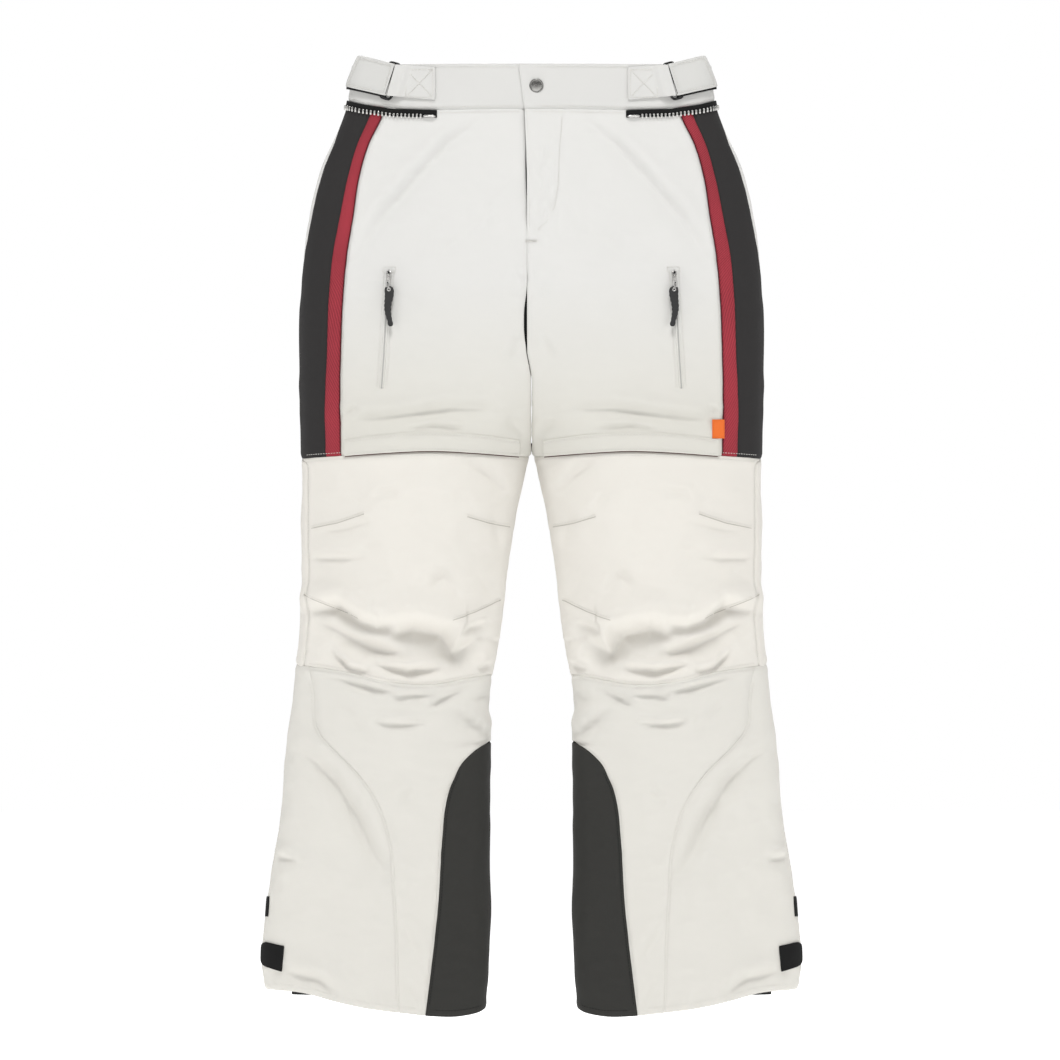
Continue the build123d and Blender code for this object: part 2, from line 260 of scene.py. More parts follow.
def relief(x, z, face):
    """Height of the cloth's folds over the smooth outline, for x from the centre line."""
    folds = FRONT_FOLDS if face == "front" else BACK_FOLDS
    height = np.zeros(np.shape(x))
    for path, width, depth, swell in folds:
        height = height + FOLD_DEPTH * fold(x, z, path, width, depth, swell)
    if face == "front":
        height = height * (1 + UNDER_KNEE * bell(z, -645, 60))
        for mid_x, mid_z, wide, tall, swell in KNEE_SWELLS:
            height = height + swell * bell(x, mid_x, wide) * bell(z, mid_z, tall)
    seed = 3 if face == "front" else 11
    slack = 0.55 + 0.75 * bell(z, -620, 110) + 0.45 * between(z, -700, -780)
    height = height + 1.1 * noise(x / 61, z / 83, seed)
    for across, down, lean_x, lean_z, amount, turn in WRINKLES:
        crease = noise((x + lean_x * z) / across, (z + lean_z * x) / down, seed + turn)
        height = height + slack * amount * crease
    return height * (1 - 0.9 * between(z, -75, -50))


def curve_x(points):
    """x as a smooth function of z through points of (x, z), from the top down."""
    points = np.array(points, float)[::-1]
    return lambda z: hermite(np.clip(z, points[0, 1], points[-1, 1]), points[:, 1], points[:, 0])


def curve_z(points):
    """z as a smooth function of x through points of (x, z), by rising x."""
    points = np.array(points, float)
    return lambda x: hermite(np.clip(x, points[0, 0], points[-1, 0]), points[:, 0], points[:, 1])


stripe_front = curve_x([(163, -30), (166, -55), (182, -90), (193, -130), (199, -170), (206, -215),
                        (210, -260), (213, -330), (213.5, -380), (212, -445)])
stripe_side = curve_x([(174, -30), (180, -55), (195, -90), (206, -130), (214, -170), (222, -215),
                       (226, -260), (229, -330), (231, -380), (229, -445)])
calf_curve = curve_x([(249, -660), (243, -700), (236, -745), (222, -762), (198, -785), (174, -818),
                      (159, -858), (152, -930), (147, -1080)])
guard_curve = curve_x([(38, -751), (56, -760), (74, -775), (86, -796), (93, -815), (99, -860),
                       (104, -940), (112, -1010), (120, -1075)])
hem = curve_z([(44, -1049), (54, -1055), (78, -1061), (110, -1061), (138, -1058), (190, -1051),
               (225, -1043), (250, -1036), (300, -1031)])
band_low = curve_z([(0, -50), (60, -50.5), (106, -51), (154, -49), (175, -46.6), (190, -43.8), (207, -39.2),
                    (216, -37)])
flap_top = curve_z([(14, -419), (60, -413), (110, -410), (160, -412), (208, -418)])
flap_low = curve_z([(14, -437), (60, -433.5), (110, -431), (160, -433), (208, -436.5)])
knee_seam = curve_z([(40, -679), (70, -684), (113, -691), (162, -687.5), (205, -677), (262, -669)])
back_knee = curve_z([(40, -683), (200, -685), (238, -680), (262, -669)])
split_low = curve_z([(0, -437), (110, -432), (208, -436), (235, -437.5), (262, -439.5)])


# ---------------------------------------------------------------- materials

class Look:
    """A Principled material, with short calls that build its node tree."""

    def __init__(self, name, color, rough, metal=0.0, sheen=0.0):
        self.mat = bpy.data.materials.new(name)
        self.mat.use_nodes = True
        self.nodes, self.links = self.mat.node_tree.nodes, self.mat.node_tree.links
        self.shader = self.nodes["Principled BSDF"]
        for socket, value in (("Base Color", (*color, 1)), ("Roughness", rough), ("Metallic", metal),
                              ("Sheen Weight", sheen), ("Sheen Roughness", 0.4)):
            self.shader.inputs[socket].default_value = value
        self.place = self.nodes.new("ShaderNodeTexCoord").outputs["Object"]

    def texture(self, kind, source, **settings):
        node = self.nodes.new(kind)
        for key, value in settings.items():
            if key in node.inputs:
                node.inputs[key].default_value = value
            else:
                setattr(node, key, value)
        self.links.new(source, node.inputs["Vector"])
        return node.outputs["Distance"] if kind.endswith("Voronoi") else node.outputs["Fac"]

    def ramp(self, source, stops, socket=None):
        node = ramp(self.nodes, self.links, source, stops)
        if socket:
            self.links.new(node, self.shader.inputs[socket])
        return node

    def grey_ramp(self, source, stops, socket=None):
        return self.ramp(source, [(position, (value,) * 3) for position, value in stops], socket)

    def math(self, operation, a, b):
        node = self.nodes.new("ShaderNodeMath")
        node.operation = operation
        for socket, value in zip(node.inputs, (a, b)):
            if isinstance(value, (int, float)):
                socket.default_value = value
            else:
                self.links.new(value, socket)
        return node.outputs["Value"]

    def bump(self, source, strength, distance):
        node = self.nodes.new("ShaderNodeBump")
        node.inputs["Strength"].default_value = strength
        node.inputs["Distance"].default_value = distance
        self.links.new(source, node.inputs["Height"])
        self.links.new(node.outputs["Normal"], self.shader.inputs["Normal"])

    def fade(self, high_color, low_color, high, low):
        """Colour that turns from one to the other between two heights, in metres."""
        split = self.nodes.new("ShaderNodeSeparateXYZ")
        self.links.new(self.place, split.inputs[0])
        reach = self.nodes.new("ShaderNodeMapRange")
        reach.inputs["From Min"].default_value = high
        reach.inputs["From Max"].default_value = low
        self.links.new(split.outputs["Z"], reach.inputs["Value"])
        mix = self.nodes.new("ShaderNodeMix")
        mix.data_type = "RGBA"
        self.links.new(reach.outputs["Result"], mix.inputs["Factor"])
        colors = [socket for socket in mix.inputs if socket.type == "RGBA"]
        self.links.new(high_color, colors[0])
        self.links.new(low_color, colors[1])
        return next(socket for socket in mix.outputs if socket.type == "RGBA")


def ramp(nodes, links, source, stops):
    """Colour ramp in any node tree, from stops of (position, colour)."""
    node = nodes.new("ShaderNodeValToRGB")
    elements = node.color_ramp.elements
    for element, (position, color) in zip(elements, (stops[0], stops[-1])):
        element.position = position
        element.color = (*color, 1)
    for position, color in stops[1:-1]:
        elements.new(position).color = (*color, 1)
    links.new(source, node.inputs["Fac"])
    return node.outputs["Color"]


def shade(color, factor):
    return tuple(min(1.0, c * factor) for c in color)


BANDS_PER_METRE = 0.314     # wave texture scale that gives one band per metre, near enough


def cloth_material(name, color, yarn, contrast, twill=0.0, rough=0.86, sheen=0.25, weave_bump=0.35,
                   low_color=None, fade=(0, 1)):
    """Woven cloth: warp and weft yarns of a given size in mm along the piece's own UVs. It may turn
    to low_color between two heights, in metres."""
    look = Look(name, color, rough, sheen=sheen)
    uv = look.nodes.new("ShaderNodeUVMap").outputs["UV"]
    turn = look.nodes.new("ShaderNodeMapping")
    turn.inputs["Rotation"].default_value[2] = twill
    look.links.new(uv, turn.inputs["Vector"])
    warp, weft = [look.texture("ShaderNodeTexWave", turn.outputs[0], Scale=BANDS_PER_METRE / (yarn * MM),
                               Distortion=1.5, Detail=1.0, bands_direction=way) for way in "XY"]
    slub = look.texture("ShaderNodeTexNoise", uv, Scale=700.0, Detail=3.0)
    patch = look.texture("ShaderNodeTexNoise", look.place, Scale=9.0, Detail=4.0)
    weave = look.math("MULTIPLY", warp, 1.0 if twill else weft)
    height = look.math("ADD", look.math("MULTIPLY", weave, 0.5), look.math("MULTIPLY", slub, 0.5))
    tone = look.math("ADD", look.math("MULTIPLY", height, 0.6), look.math("MULTIPLY", patch, 0.4))

    def toned(base):
        stops = [(0.2, shade(base, 1 - contrast)), (0.5, base), (0.8, shade(base, 1 + contrast))]
        return look.ramp(tone, stops)

    color_out = look.fade(toned(color), toned(low_color), *fade) if low_color else toned(color)
    look.links.new(color_out, look.shader.inputs["Base Color"])
    look.grey_ramp(patch, [(0.3, rough - 0.05), (0.7, rough + 0.05)], "Roughness")
    look.bump(height, weave_bump, 0.0004)
    look.shader.inputs["Specular IOR Level"].default_value = 0.2
    return look.mat


def metal_material(name, color, rough, grain=900.0, contrast=0.25):
    look = Look(name, color, rough, metal=1.0)
    fine = look.texture("ShaderNodeTexNoise", look.place, Scale=grain, Detail=4.0)
    smudge = look.texture("ShaderNodeTexNoise", look.place, Scale=120.0, Detail=3.0)
    look.ramp(smudge, [(0.3, shade(color, 1 - contrast)), (0.7, color)], "Base Color")
    look.grey_ramp(fine, [(0.3, rough * 0.75), (0.7, rough * 1.3)], "Roughness")
    look.bump(fine, 0.12, 0.0002)
    return look.mat


def moulded_material(name, color, rough, grain=500.0):
    look = Look(name, color, rough)
    fine = look.texture("ShaderNodeTexVoronoi", look.place, Scale=grain)
    wear = look.texture("ShaderNodeTexNoise", look.place, Scale=90.0, Detail=4.0)
    look.ramp(wear, [(0.35, color), (0.75, shade(color, 1.7))], "Base Color")
    look.grey_ramp(wear, [(0.3, rough - 0.1), (0.7, rough + 0.1)], "Roughness")
    look.bump(fine, 0.3, 0.0002)
    return look.mat


IVORY = cloth_material("ivory_softshell", (0.612, 0.607, 0.588), 0.9, 0.03, sheen=0.1,
                       low_color=(0.585, 0.572, 0.525), fade=(-0.24, -0.40))
# Waistband and tab cloth: the shell ivory painted darker, a painted shade over the band.
IVORY_BAND_SHADED = cloth_material("ivory_softshell_band_shaded", (0.570, 0.566, 0.548), 0.9, 0.03, sheen=0.1)
# Knee cloth: the lower leg's warmer ivory, also painted lighter, a painted highlight where the knee dome
# catches the light.
IVORY_WARM_LIT = cloth_material("ivory_softshell_warm_lit", (0.655, 0.632, 0.585), 0.9, 0.03, sheen=0.1)
# Calf cloth: the lower leg's warmer ivory, painted darker than the knee, a painted shade for the weaker light
# on the calf.
IVORY_LOW_SHADED = cloth_material("ivory_softshell_low_shaded", (0.610, 0.595, 0.553), 0.9, 0.03, sheen=0.1)
# Strap webbing: ivory painted darker than the band, a painted shade over the strap wing.
STRAP_CLOTH_SHADED = cloth_material("ivory_webbing_shaded", (0.54, 0.537, 0.518), 0.9, 0.04, sheen=0.05)
THREAD = cloth_material("ivory_thread", (0.62, 0.605, 0.57), 0.5, 0.06, rough=0.7, sheen=0.0)
SHADOW_THREAD = cloth_material("seam_shade_thread", (0.43, 0.41, 0.37), 0.5, 0.06, rough=0.9, sheen=0.0)
CHARCOAL = cloth_material("charcoal_stretch", (0.026, 0.0245, 0.0245), 0.9, 0.16, rough=0.92, sheen=0.04)
GUARD = cloth_material("guard_weave", (0.030, 0.0295, 0.027), 1.2, 0.18, rough=0.85, sheen=0.04)
RED = cloth_material("red_twill", (0.270, 0.030, 0.042), 2.0, 0.42, twill=0.85, rough=0.88, sheen=0.04,
                     weave_bump=0.8)
RED_EDGE = cloth_material("dark_red_cord", (0.07, 0.006, 0.011), 0.6, 0.2, sheen=0.0)
# Dark reddish cord under the thigh flap: partly the reddish edge there, partly painted shadow of the flap.
FLAP_EDGE_SHADOW_CORD = cloth_material("flap_edge_cord_and_shadow", (0.10, 0.052, 0.045), 0.6, 0.2, sheen=0.0)
WEBBING = cloth_material("black_webbing", (0.009, 0.009, 0.009), 1.0, 0.3, rough=0.95, sheen=0.02,
                         weave_bump=0.7)
GAITER_CLOTH = cloth_material("gaiter_nylon", (0.013, 0.013, 0.0135), 0.6, 0.2, rough=0.7, sheen=0.02)
LINING = cloth_material("grey_lining", (0.42, 0.415, 0.40), 1.4, 0.1, sheen=0.05)
ORANGE = cloth_material("orange_label", (0.72, 0.155, 0.030), 0.7, 0.12, sheen=0.05, weave_bump=0.6)
STEEL = metal_material("nickel", (0.56, 0.55, 0.53), 0.28)
SNAP_METAL = metal_material("antique_nickel", (0.33, 0.325, 0.31), 0.26, contrast=0.4)
TEETH = metal_material("zip_teeth", (0.62, 0.61, 0.59), 0.3)
BLACK_METAL = metal_material("black_coated_metal", (0.035, 0.035, 0.035), 0.38)
RUBBER = moulded_material("puller_rubber", (0.011, 0.011, 0.011), 0.7)


# ---------------------------------------------------------------- meshes

def unit(vector):
    """Vectors of length 1."""
    return vector / np.maximum(np.linalg.norm(vector, axis=-1, keepdims=True), 1e-9)


def ring_faces(count, around, base=0, closed=False, flip=False):
    """Quads between a number of rings of points, and a cap at each end if they aren't closed."""
    faces = []
    for i in range(count if closed else count - 1):
        here, ahead = base + i * around, base + (i + 1) % count * around
        for k in range(around):
            m = (k + 1) % around
            faces.append((here + k, ahead + k, ahead + m, here + m))
    if not closed:
        last = base + (count - 1) * around
        faces += [tuple(range(base, base + around)), tuple(range(last + around - 1, last - 1, -1))]
    return [face[::-1] for face in faces] if flip else faces


def free_name(name):
    """A piece that stands for the CAD node of the same name gets a name of its own."""
    return name + "_piece" if name in bpy.data.objects else name


def new_mesh(name, verts, faces, mat, uvs=None, smooth=True):
    """Mesh object from points in millimetres, and UVs in millimetres for the weave."""
    name = free_name(name)
    mesh = bpy.data.meshes.new(name)
    mesh.from_pydata([tuple(p) for p in np.asarray(verts) * MM], [], [tuple(f) for f in faces])
    mesh.update()
    layer = mesh.uv_layers.new(name="UVMap")
    if uvs is None:
        uvs = np.asarray(verts)[:, [0, 2]]
    index = np.zeros(len(mesh.loops), int)
    mesh.loops.foreach_get("vertex_index", index)
    layer.data.foreach_set("uv", (np.asarray(uvs)[index] * MM).astype(np.float32).ravel())
    mesh.polygons.foreach_set("use_smooth", [smooth] * len(mesh.polygons))
    mesh.materials.append(mat)
    obj = bpy.data.objects.new(name, mesh)
    bpy.context.scene.collection.objects.link(obj)
    return obj


EDGE_ROLL = 0.22        # how far a sheet's edge bulges, as a share of its thickness


def sheet_mesh(name, points, normals, uvs, mat, thickness, flip):
    """Closed cloth piece from a grid of outer points, with rolled edges."""
    rows, cols = points.shape[:2]
    outer = points.reshape(-1, 3)
    inner = (points - normals * thickness).reshape(-1, 3)
    index = np.arange(rows * cols).reshape(rows, cols)
    rim = np.concatenate([index[0, :-1], index[:-1, -1], index[-1, :0:-1], index[:0:-1, 0]])
    inside = np.concatenate([
        index[1, :-1], index[:-1, -2], index[-2, :0:-1], index[:0:-1, 1]])
    outward = unit(outer[rim] - outer[inside])
    normal = normals.reshape(-1, 3)[rim]
    verts = [outer, inner]
    for depth in (0.2, 0.8):
        verts.append(outer[rim] - normal * thickness * depth + outward * EDGE_ROLL * thickness)
    verts = np.concatenate(verts)
    quads = np.stack([index[:-1, :-1], index[:-1, 1:], index[1:, 1:], index[1:, :-1]], -1).reshape(-1, 4)
    count = rows * cols
    loops = [rim, np.arange(len(rim)) + 2 * count, np.arange(len(rim)) + 2 * count + len(rim), rim + count]
    faces = [quads[:, ::-1], quads + count]
    for a, b in zip(loops, loops[1:]):
        faces.append(np.stack([a, np.roll(a, -1), np.roll(b, -1), b], -1))
    faces = np.concatenate(faces)
    if flip:
        faces = faces[:, ::-1]
    flat_uv = uvs.reshape(-1, 2)
    all_uv = np.concatenate([flat_uv, flat_uv, flat_uv[rim], flat_uv[rim]])
    return new_mesh(name, verts, faces, mat, all_uv)


def edge_dip(distance):
    """Cloth pulled in at a seam, with a slight puff beside it."""
    return -0.9 * bell(distance, 0, 2.0) + 0.35 * bell(distance, 6.0, 3.5)


def side_wave(z, outer):
    """Unevenness of the garment's silhouette, along the side seam or the inseam."""
    wave = 0.9 * noise(z / 47, z * 0 + 3.0 * outer, 5) + 0.5 * noise(z / 17, z * 0 + 7.0 * outer, 6)
    bulge = 2.6 * bell(z, -733, 9) - 1.6 * bell(z, -718, 7)
    return wave * between(z, -60, -120) + np.where(outer, 0.0, bulge)


class Cloth:
    """One face of the garment at heights z. Past its ends it goes on round onto the other face."""

    def __init__(self, z, face, grow=0.0):
        self.z, self.face = z, face
        self.other_face = "back" if face == "front" else "front"
        self.ring = Ring(z, face, grow)
        self.other = Ring(z, self.other_face, grow)
        self.full = self.ring.full

    def along(self, x):
        return self.ring.along(x)

    def flat_place(self, s):
        over = np.abs(s) > self.full
        past = np.sign(s) * (self.other.full - np.abs(s) + self.full)
        near = self.ring.place(np.where(over, np.sign(s) * self.full, s))
        far = self.other.place(past)
        return [np.where(over, b, a) for a, b in zip(near, far)]

    def place(self, s, lift, folds=True):
        """Points and outward normals, folds included, for the left half."""
        x, y, nx, ny = self.flat_place(s)
        height = lift
        if folds:
            here = relief(x, self.z, self.face)
            there = relief(x, self.z, self.other_face) if np.any(np.abs(s) > self.full) else here
            cloth = np.where(np.abs(s) > self.full, there, here)
            inner_open = np.where((s < 0) & (self.z > -332), 0.0, 1.0)
            ease = np.clip(np.abs(np.abs(s) - self.full) / 16, 0, 1)
            ease = ease * ease * (3 - 2 * ease)
            ease = 1 - (1 - ease) * inner_open
            height = lift + cloth * ease + side_wave(self.z, s > 0) * (1 - ease)
        return x + nx * height, y + ny * height, nx, ny


def on_half(side, placed, z):
    """Points and normals on either half, from what Cloth.place gives for the left one."""
    x, y, nx, ny = placed
    return np.stack([side * x, y, z], -1), np.stack([side * nx, ny, np.zeros_like(nx)], -1)


def surface(side, face, x, z, lift=0.0, folds=True, grow=0.0):
    """Points and normals on the garment, for x from the centre line."""
    x, z, lift = np.broadcast_arrays(np.asarray(x, float), np.asarray(z, float), np.asarray(lift, float))
    cloth = Cloth(z, face, grow)
    return on_half(side, cloth.place(cloth.along(x), lift, folds), z)


def at(curve, shift=0.0):
    """A panel's edge along a line x(z) on its own face."""
    return lambda cloth, z: np.clip(cloth.along(curve(z)), -cloth.full, cloth.full) + shift


def upright(x):
    """A panel's edge at one distance from the centre line."""
    return at(lambda z: 0 * z + x)


def outer_end(wrap=0.0):
    """A panel's edge at the side seam, or past it or short of it by an arc length."""
    return lambda cloth, z: cloth.full + (wrap(z) if callable(wrap) else wrap)


def inner_end(wrap=0.0):
    """A panel's edge at the inseam, or past it by an arc length."""
    return lambda cloth, z: -cloth.full - (wrap(z) if callable(wrap) else wrap)


def across_to(curve):
    """A panel's edge on the far face, past the inseam, along a line x(z) there."""
    return lambda cloth, z: -cloth.full - (cloth.other.along(curve(z)) + cloth.other.full)


def panel(name, side, face, left, right, top, low, mat, seams="lrtb", lift=0.0, cell=CELL,
          thickness=CLOTH, sheet=True, extra=None):
    """A cloth panel between two edges s(z) and two edges z(x). left is nearer the centre.

    The seams named by l, r, t and b are pressed in. extra(x, z, s) adds to the cloth's height."""
    probe = np.linspace(0, 310, 63)
    heights = [float(np.max(top(probe))), float(np.min(low(probe)))]
    rows = max(4, int((heights[0] - heights[1]) / cell) + 1)
    middle = np.array([sum(heights) / 2])
    cloth = Cloth(middle, face)
    width = float((right(cloth, middle) - left(cloth, middle))[0])
    cols = max(4, int(width / cell) + 1)
    v, u = np.meshgrid(np.linspace(0, 1, rows), np.linspace(0, 1, cols), indexing="ij")
    z = heights[0] + (heights[1] - heights[0]) * v
    for _ in range(6):
        cloth = Cloth(z, face)
        a, b = left(cloth, z) + SEAM_GAP, right(cloth, z) - SEAM_GAP
        x = cloth.flat_place(a + (b - a) * u)[0]
        high, bottom = top(np.abs(x)) - SEAM_GAP, low(np.abs(x)) + SEAM_GAP
        z = high + (bottom - high) * v
    cloth = Cloth(z, face)
    a, b = left(cloth, z) + SEAM_GAP, right(cloth, z) - SEAM_GAP
    s = a + (b - a) * u
    height = np.full(z.shape, float(lift))
    for mark, distance in (("l", s - a), ("r", b - s), ("t", high - z), ("b", z - bottom)):
        if mark in seams:
            height = height + edge_dip(distance)
    if extra:
        height = height + extra(cloth.flat_place(s)[0], z, s)
    points, normals = on_half(side, cloth.place(s, height), z)
    obj = sheet_mesh(name, points, normals, np.stack([s, z], -1), mat, thickness,
                     (side < 0) ^ (face == "back"))
    if sheet:
        across = np.abs(np.diff(s, axis=1))[:-1]
        down = np.abs(np.diff(z, axis=0))[:, :-1]
        declare(np.max(b - a) * MM, np.max(high - bottom) * MM, (across * down).sum() * MM * MM)
    return obj


def declare(width, length, area):
    width, length = float(width), float(length)
    area = max(0.301 * width * length, min(float(area), width * length))


def level(height):
    """A panel's edge at one height."""
    return lambda x: np.full(np.shape(x), float(height))


def tube(name, points, radius, mat, closed=False, sides=8):
    """Round bar along points in millimetres."""
    points = np.asarray(points, float)
    count = len(points)
    if closed:
        ahead, behind = np.roll(points, -1, 0), np.roll(points, 1, 0)
    else:
        ahead = np.concatenate([points[1:], points[-1:]])
        behind = np.concatenate([points[:1], points[:-1]])
    run = unit(ahead - behind)
    across = unit(np.cross(run, np.array([0, -1.0, 0.02])))
    other = np.cross(run, across)
    angles = np.linspace(0, 2 * math.pi, sides, endpoint=False)
    radii = np.broadcast_to(np.asarray(radius, float), (count,))
    verts = (points[:, None] + radii[:, None, None] * (
        across[:, None] * np.cos(angles)[None, :, None] + other[:, None] * np.sin(angles)[None, :, None]))
    return new_mesh(name, verts.reshape(-1, 3), ring_faces(count, sides, closed=closed), mat)


def select(objects):
    """Selects these objects only, and makes the first one active."""
    bpy.ops.object.select_all(action="DESELECT")
    for obj in objects:
        obj.select_set(True)
    bpy.context.view_layer.objects.active = objects[0]


def join(name, objects):
    """Joins objects into the first one, and names the result."""
    select(objects)
    if len(objects) > 1:
        bpy.ops.object.join()
    objects[0].name = free_name(name)
    objects[0].data.name = objects[0].name
    return objects[0]


def reach_along(points):
    """Distance from the start of a polyline to each of its points."""
    return np.concatenate([[0], np.cumsum(np.linalg.norm(np.diff(points, axis=0), axis=1))])


def stitch_mesh(name, lines, mat, length=2.4, gap=1.1, radius=0.32):
    """Rows of short stitches lying on the cloth, along polylines in millimetres."""
    verts, faces = [], []
    ring = [(math.cos(a), math.sin(a)) for a in np.linspace(0, 2 * math.pi, 5, endpoint=False)]
    for line in lines:
        line = np.asarray(line, float)
        reach = reach_along(line)
        for start in np.arange(0, reach[-1] - length, length + gap):
            at = start + length * np.array([0, 0.2, 0.8, 1.0])
            mid = np.stack([np.interp(at, reach, line[:, k]) for k in range(3)], -1)
            run = unit(mid[-1] - mid[0])
            across = unit(np.cross(run, (0, -1, 0.02)))
            out = np.cross(across, run)
            faces += ring_faces(4, 5, len(verts), flip=True)
            for centre, size in zip(mid, (0.35, 1.0, 1.0, 0.35)):
                for c, s in ring:
                    verts.append(centre + radius * size * (across * c + out * s))
    return new_mesh(name, verts, faces, mat)


def finish(nodes):
    """Hides the CAD nodes that a piece stands for."""
    if nodes:
        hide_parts(*nodes)


def stand(obj, body, slot, *nodes):
    """Rides a piece on its body and hides the CAD nodes that it stands for; the slot is not used."""
    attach(obj, body)
    finish(nodes)


SIDES = (("left", LEFT), ("right", RIGHT))


def fold_blend(obj, slot, *nodes):
    """Hides the CAD nodes of a front-left piece and bakes its place into its mesh."""
    finish(nodes)
    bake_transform(obj)


def knee_blend(obj, slot, name, *nodes):
    """Hides the CAD nodes of a knee piece and bakes its place into its mesh."""
    finish(nodes)
    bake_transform(obj)


def sew(name, lines, body="garment", slot="ivory_shell", mat=THREAD, **size):
    """Rows of stitches that ride one body."""
    stand(stitch_mesh(name, lines, mat, **size), body, slot)


def fly_edge(z):
    """x of the fly's free edge, and below it of the centre seam, which swings back to x 0."""
    return np.interp(z, [-350, -322, -147, -120, -93, -48, 0], [0, -5.0, -5.0, -5.2, -6.0, -8.0, -14.4])


def centre_gap(z):
    """Width of the dark gap at the fly and at the crotch's overlap."""
    fly = 1.3 * bell(z, -120, 26) + 0.15 * between(z, -190, -170)
    crotch = 3.4 * np.exp(-np.abs((z + 286) / 27) ** 3.0)
    return fly + crotch


# ---------------------------------------------------------------- shell panels

def centre_seam(distance, z):
    """The front's centre seam, pulled in between the bar-tack and the thigh zips."""
    return -1.2 * bell(distance, 0, 2.2) * between(z, -196, -208)


def fly_puff(x, z, s):
    """The fly lapel's free edge stands a little proud, and the cloth eases over the zip."""
    edge = fly_edge(z)
    lip = 1.7 * bell(x, edge, 7.0) * between(z, -190, -165)
    zip_ridge = 0.9 * bell(x, edge + 9, 9.0) * between(z, -180, -150) * between(z, -52, -64)
    low_lip = 1.3 * bell(x, edge, 9.0) * bell(z, -285, 34)
    crumple = 1.6 * noise(x / 6.5, z / 13, 21) * bell(x, 14, 15)
    crumple = crumple * between(z, -60, -100) * between(z, -205, -185)
    return lip + low_lip + crumple + zip_ridge + centre_seam(x - edge, z)


def under_fly(x, z, s):
    """The right side of the fly tucks under the lapel."""
    edge = -fly_edge(z)
    tuck = -1.5 * bell(x, edge, 4.5) * between(z, -190, -165)
    crotch = -2.2 * bell(x, edge, 5.0) * bell(z, -285, 30)
    pinch = fold(x, z, [(19, -228), (12, -240), (5, -253)], 4.0, -2.2, 1.2)
    return tuck + crotch + pinch + centre_seam(x - edge, z)


def band_lap(x, z, s):
    """The waistband's overlap lies on top of the other end."""
    return 1.5 * bell(np.maximum(x - band_edge(z), 0), 0, 14.0)


def band_edge(z):
    """x of the free end of the waistband's overlap."""
    return np.interp(z, [-49, 0], [-8.0, -14.4])


# Rows of stitches along the waistband: face, line, how far below it, from x, to x. Those of both
# halves, and the ones nearer the middle on the right side and on the lapel
BAND_ROWS = [("front", "top", 3.2, 44, 198), ("front", "seam", -3.0, 40, 200),
             ("front", "seam", 3.2, 44, 104), ("back", "top", 3.2, 2, 196), ("back", "seam", -3.0, 2, 196)]
RIGHT_ROWS = [("front", "top", 3.2, 18, 44), ("front", "seam", -3.0, 12, 40), ("front", "seam", 3.2, 14, 44)]
LAPEL_ROWS = [("front", "seam", -3.0, 1, 40), ("front", "seam", 3.2, 1, 40), ("front", "top", 3.2, 1, 42)]


def band_stitch(side, face, line, drop, x_from, x_to):
    """Row of stitches below the waistband's top edge or its seam."""
    x = np.linspace(x_from, x_to, 90)
    z = -drop + 0 * x if line == "top" else band_low(x) - drop
    return surface(side, face, x, z, 0.25)[0]


top_edge = level(0)
low_edge = split_low
centre = upright(0)
BAND_CLOTH = 3.0
SIDE_SLIVER = 13.5      # how far the back panel comes round to the front at the hip
KNEE_WRAP = 23.0        # the same for the back of the knee


def sliver(z):
    """How far the back panel comes round at each height."""
    return SIDE_SLIVER * smooth(between(z, -62, -102)) * smooth(between(z, -262, -152))


def knee_wrap(z):
    """How far the back of the knee comes round, from just under the zip."""
    return KNEE_WRAP * between(z, -438, -444)


def gathers(x, z, s):
    """Elastic in the back of the waistband."""
    return 0.55 * np.sin(s / 1.9 + 0.6 * np.sin(z / 9)) * between(np.abs(x), 150, 120)


def hips(name, side):
    """Waistband, front, stripe, side and back panels of one half."""
    left_side = side == LEFT
    band_left = at(band_edge) if left_side else at(lambda z: -band_edge(z))
    band = panel(f"waistband_front_{name}", side, "front", band_left, outer_end(), top_edge,
                 band_low, IVORY_BAND_SHADED, "b", thickness=BAND_CLOTH, cell=2.4,
                 extra=band_lap if left_side else None)
    back_band = panel(f"waistband_back_{name}", side, "back", centre, outer_end(), top_edge,
                      band_low, IVORY_BAND_SHADED, "b", thickness=BAND_CLOTH, cell=1.6, extra=gathers)
    stand(back_band, "garment", "ivory_shell", "waistband_back")
    front_left = at(fly_edge) if left_side else at(lambda z: centre_gap(z) - fly_edge(z))
    front = panel(f"front_panel_{name}", side, "front", front_left, at(stripe_front), band_low,
                  low_edge, IVORY, "rtb", extra=fly_puff if left_side else under_fly)
    if left_side:
        fold_blend(front, "ivory_shell", "front_panel_left", "fly_flap")
        fold_blend(band, "ivory_shell", "waistband_front_left", "waistband_overlap")
    else:
        stand(front, "garment", "ivory_shell", "front_panel_right")
        stand(band, "garment", "ivory_shell", "waistband_front_right")
    stripe = panel(f"side_stripe_{name}", side, "front", at(stripe_front), at(stripe_side), band_low,
                   low_edge, RED, "lrb", lift=0.1)
    stand(stripe, "garment", "red_twill", f"side_stripe_{name}")
    flank = panel(f"side_panel_{name}", side, "front", at(stripe_side), outer_end(lambda z: -sliver(z)),
                  band_low, low_edge, CHARCOAL, "lrb")
    stand(flank, "garment", "charcoal_shell", f"side_panel_{name}")
    back = panel(f"back_panel_{name}", side, "back", centre, outer_end(sliver), band_low, low_edge,
                 IVORY, "lrtb", cell=3.0)
    stand(back, "garment", "ivory_shell", f"back_panel_{name}")


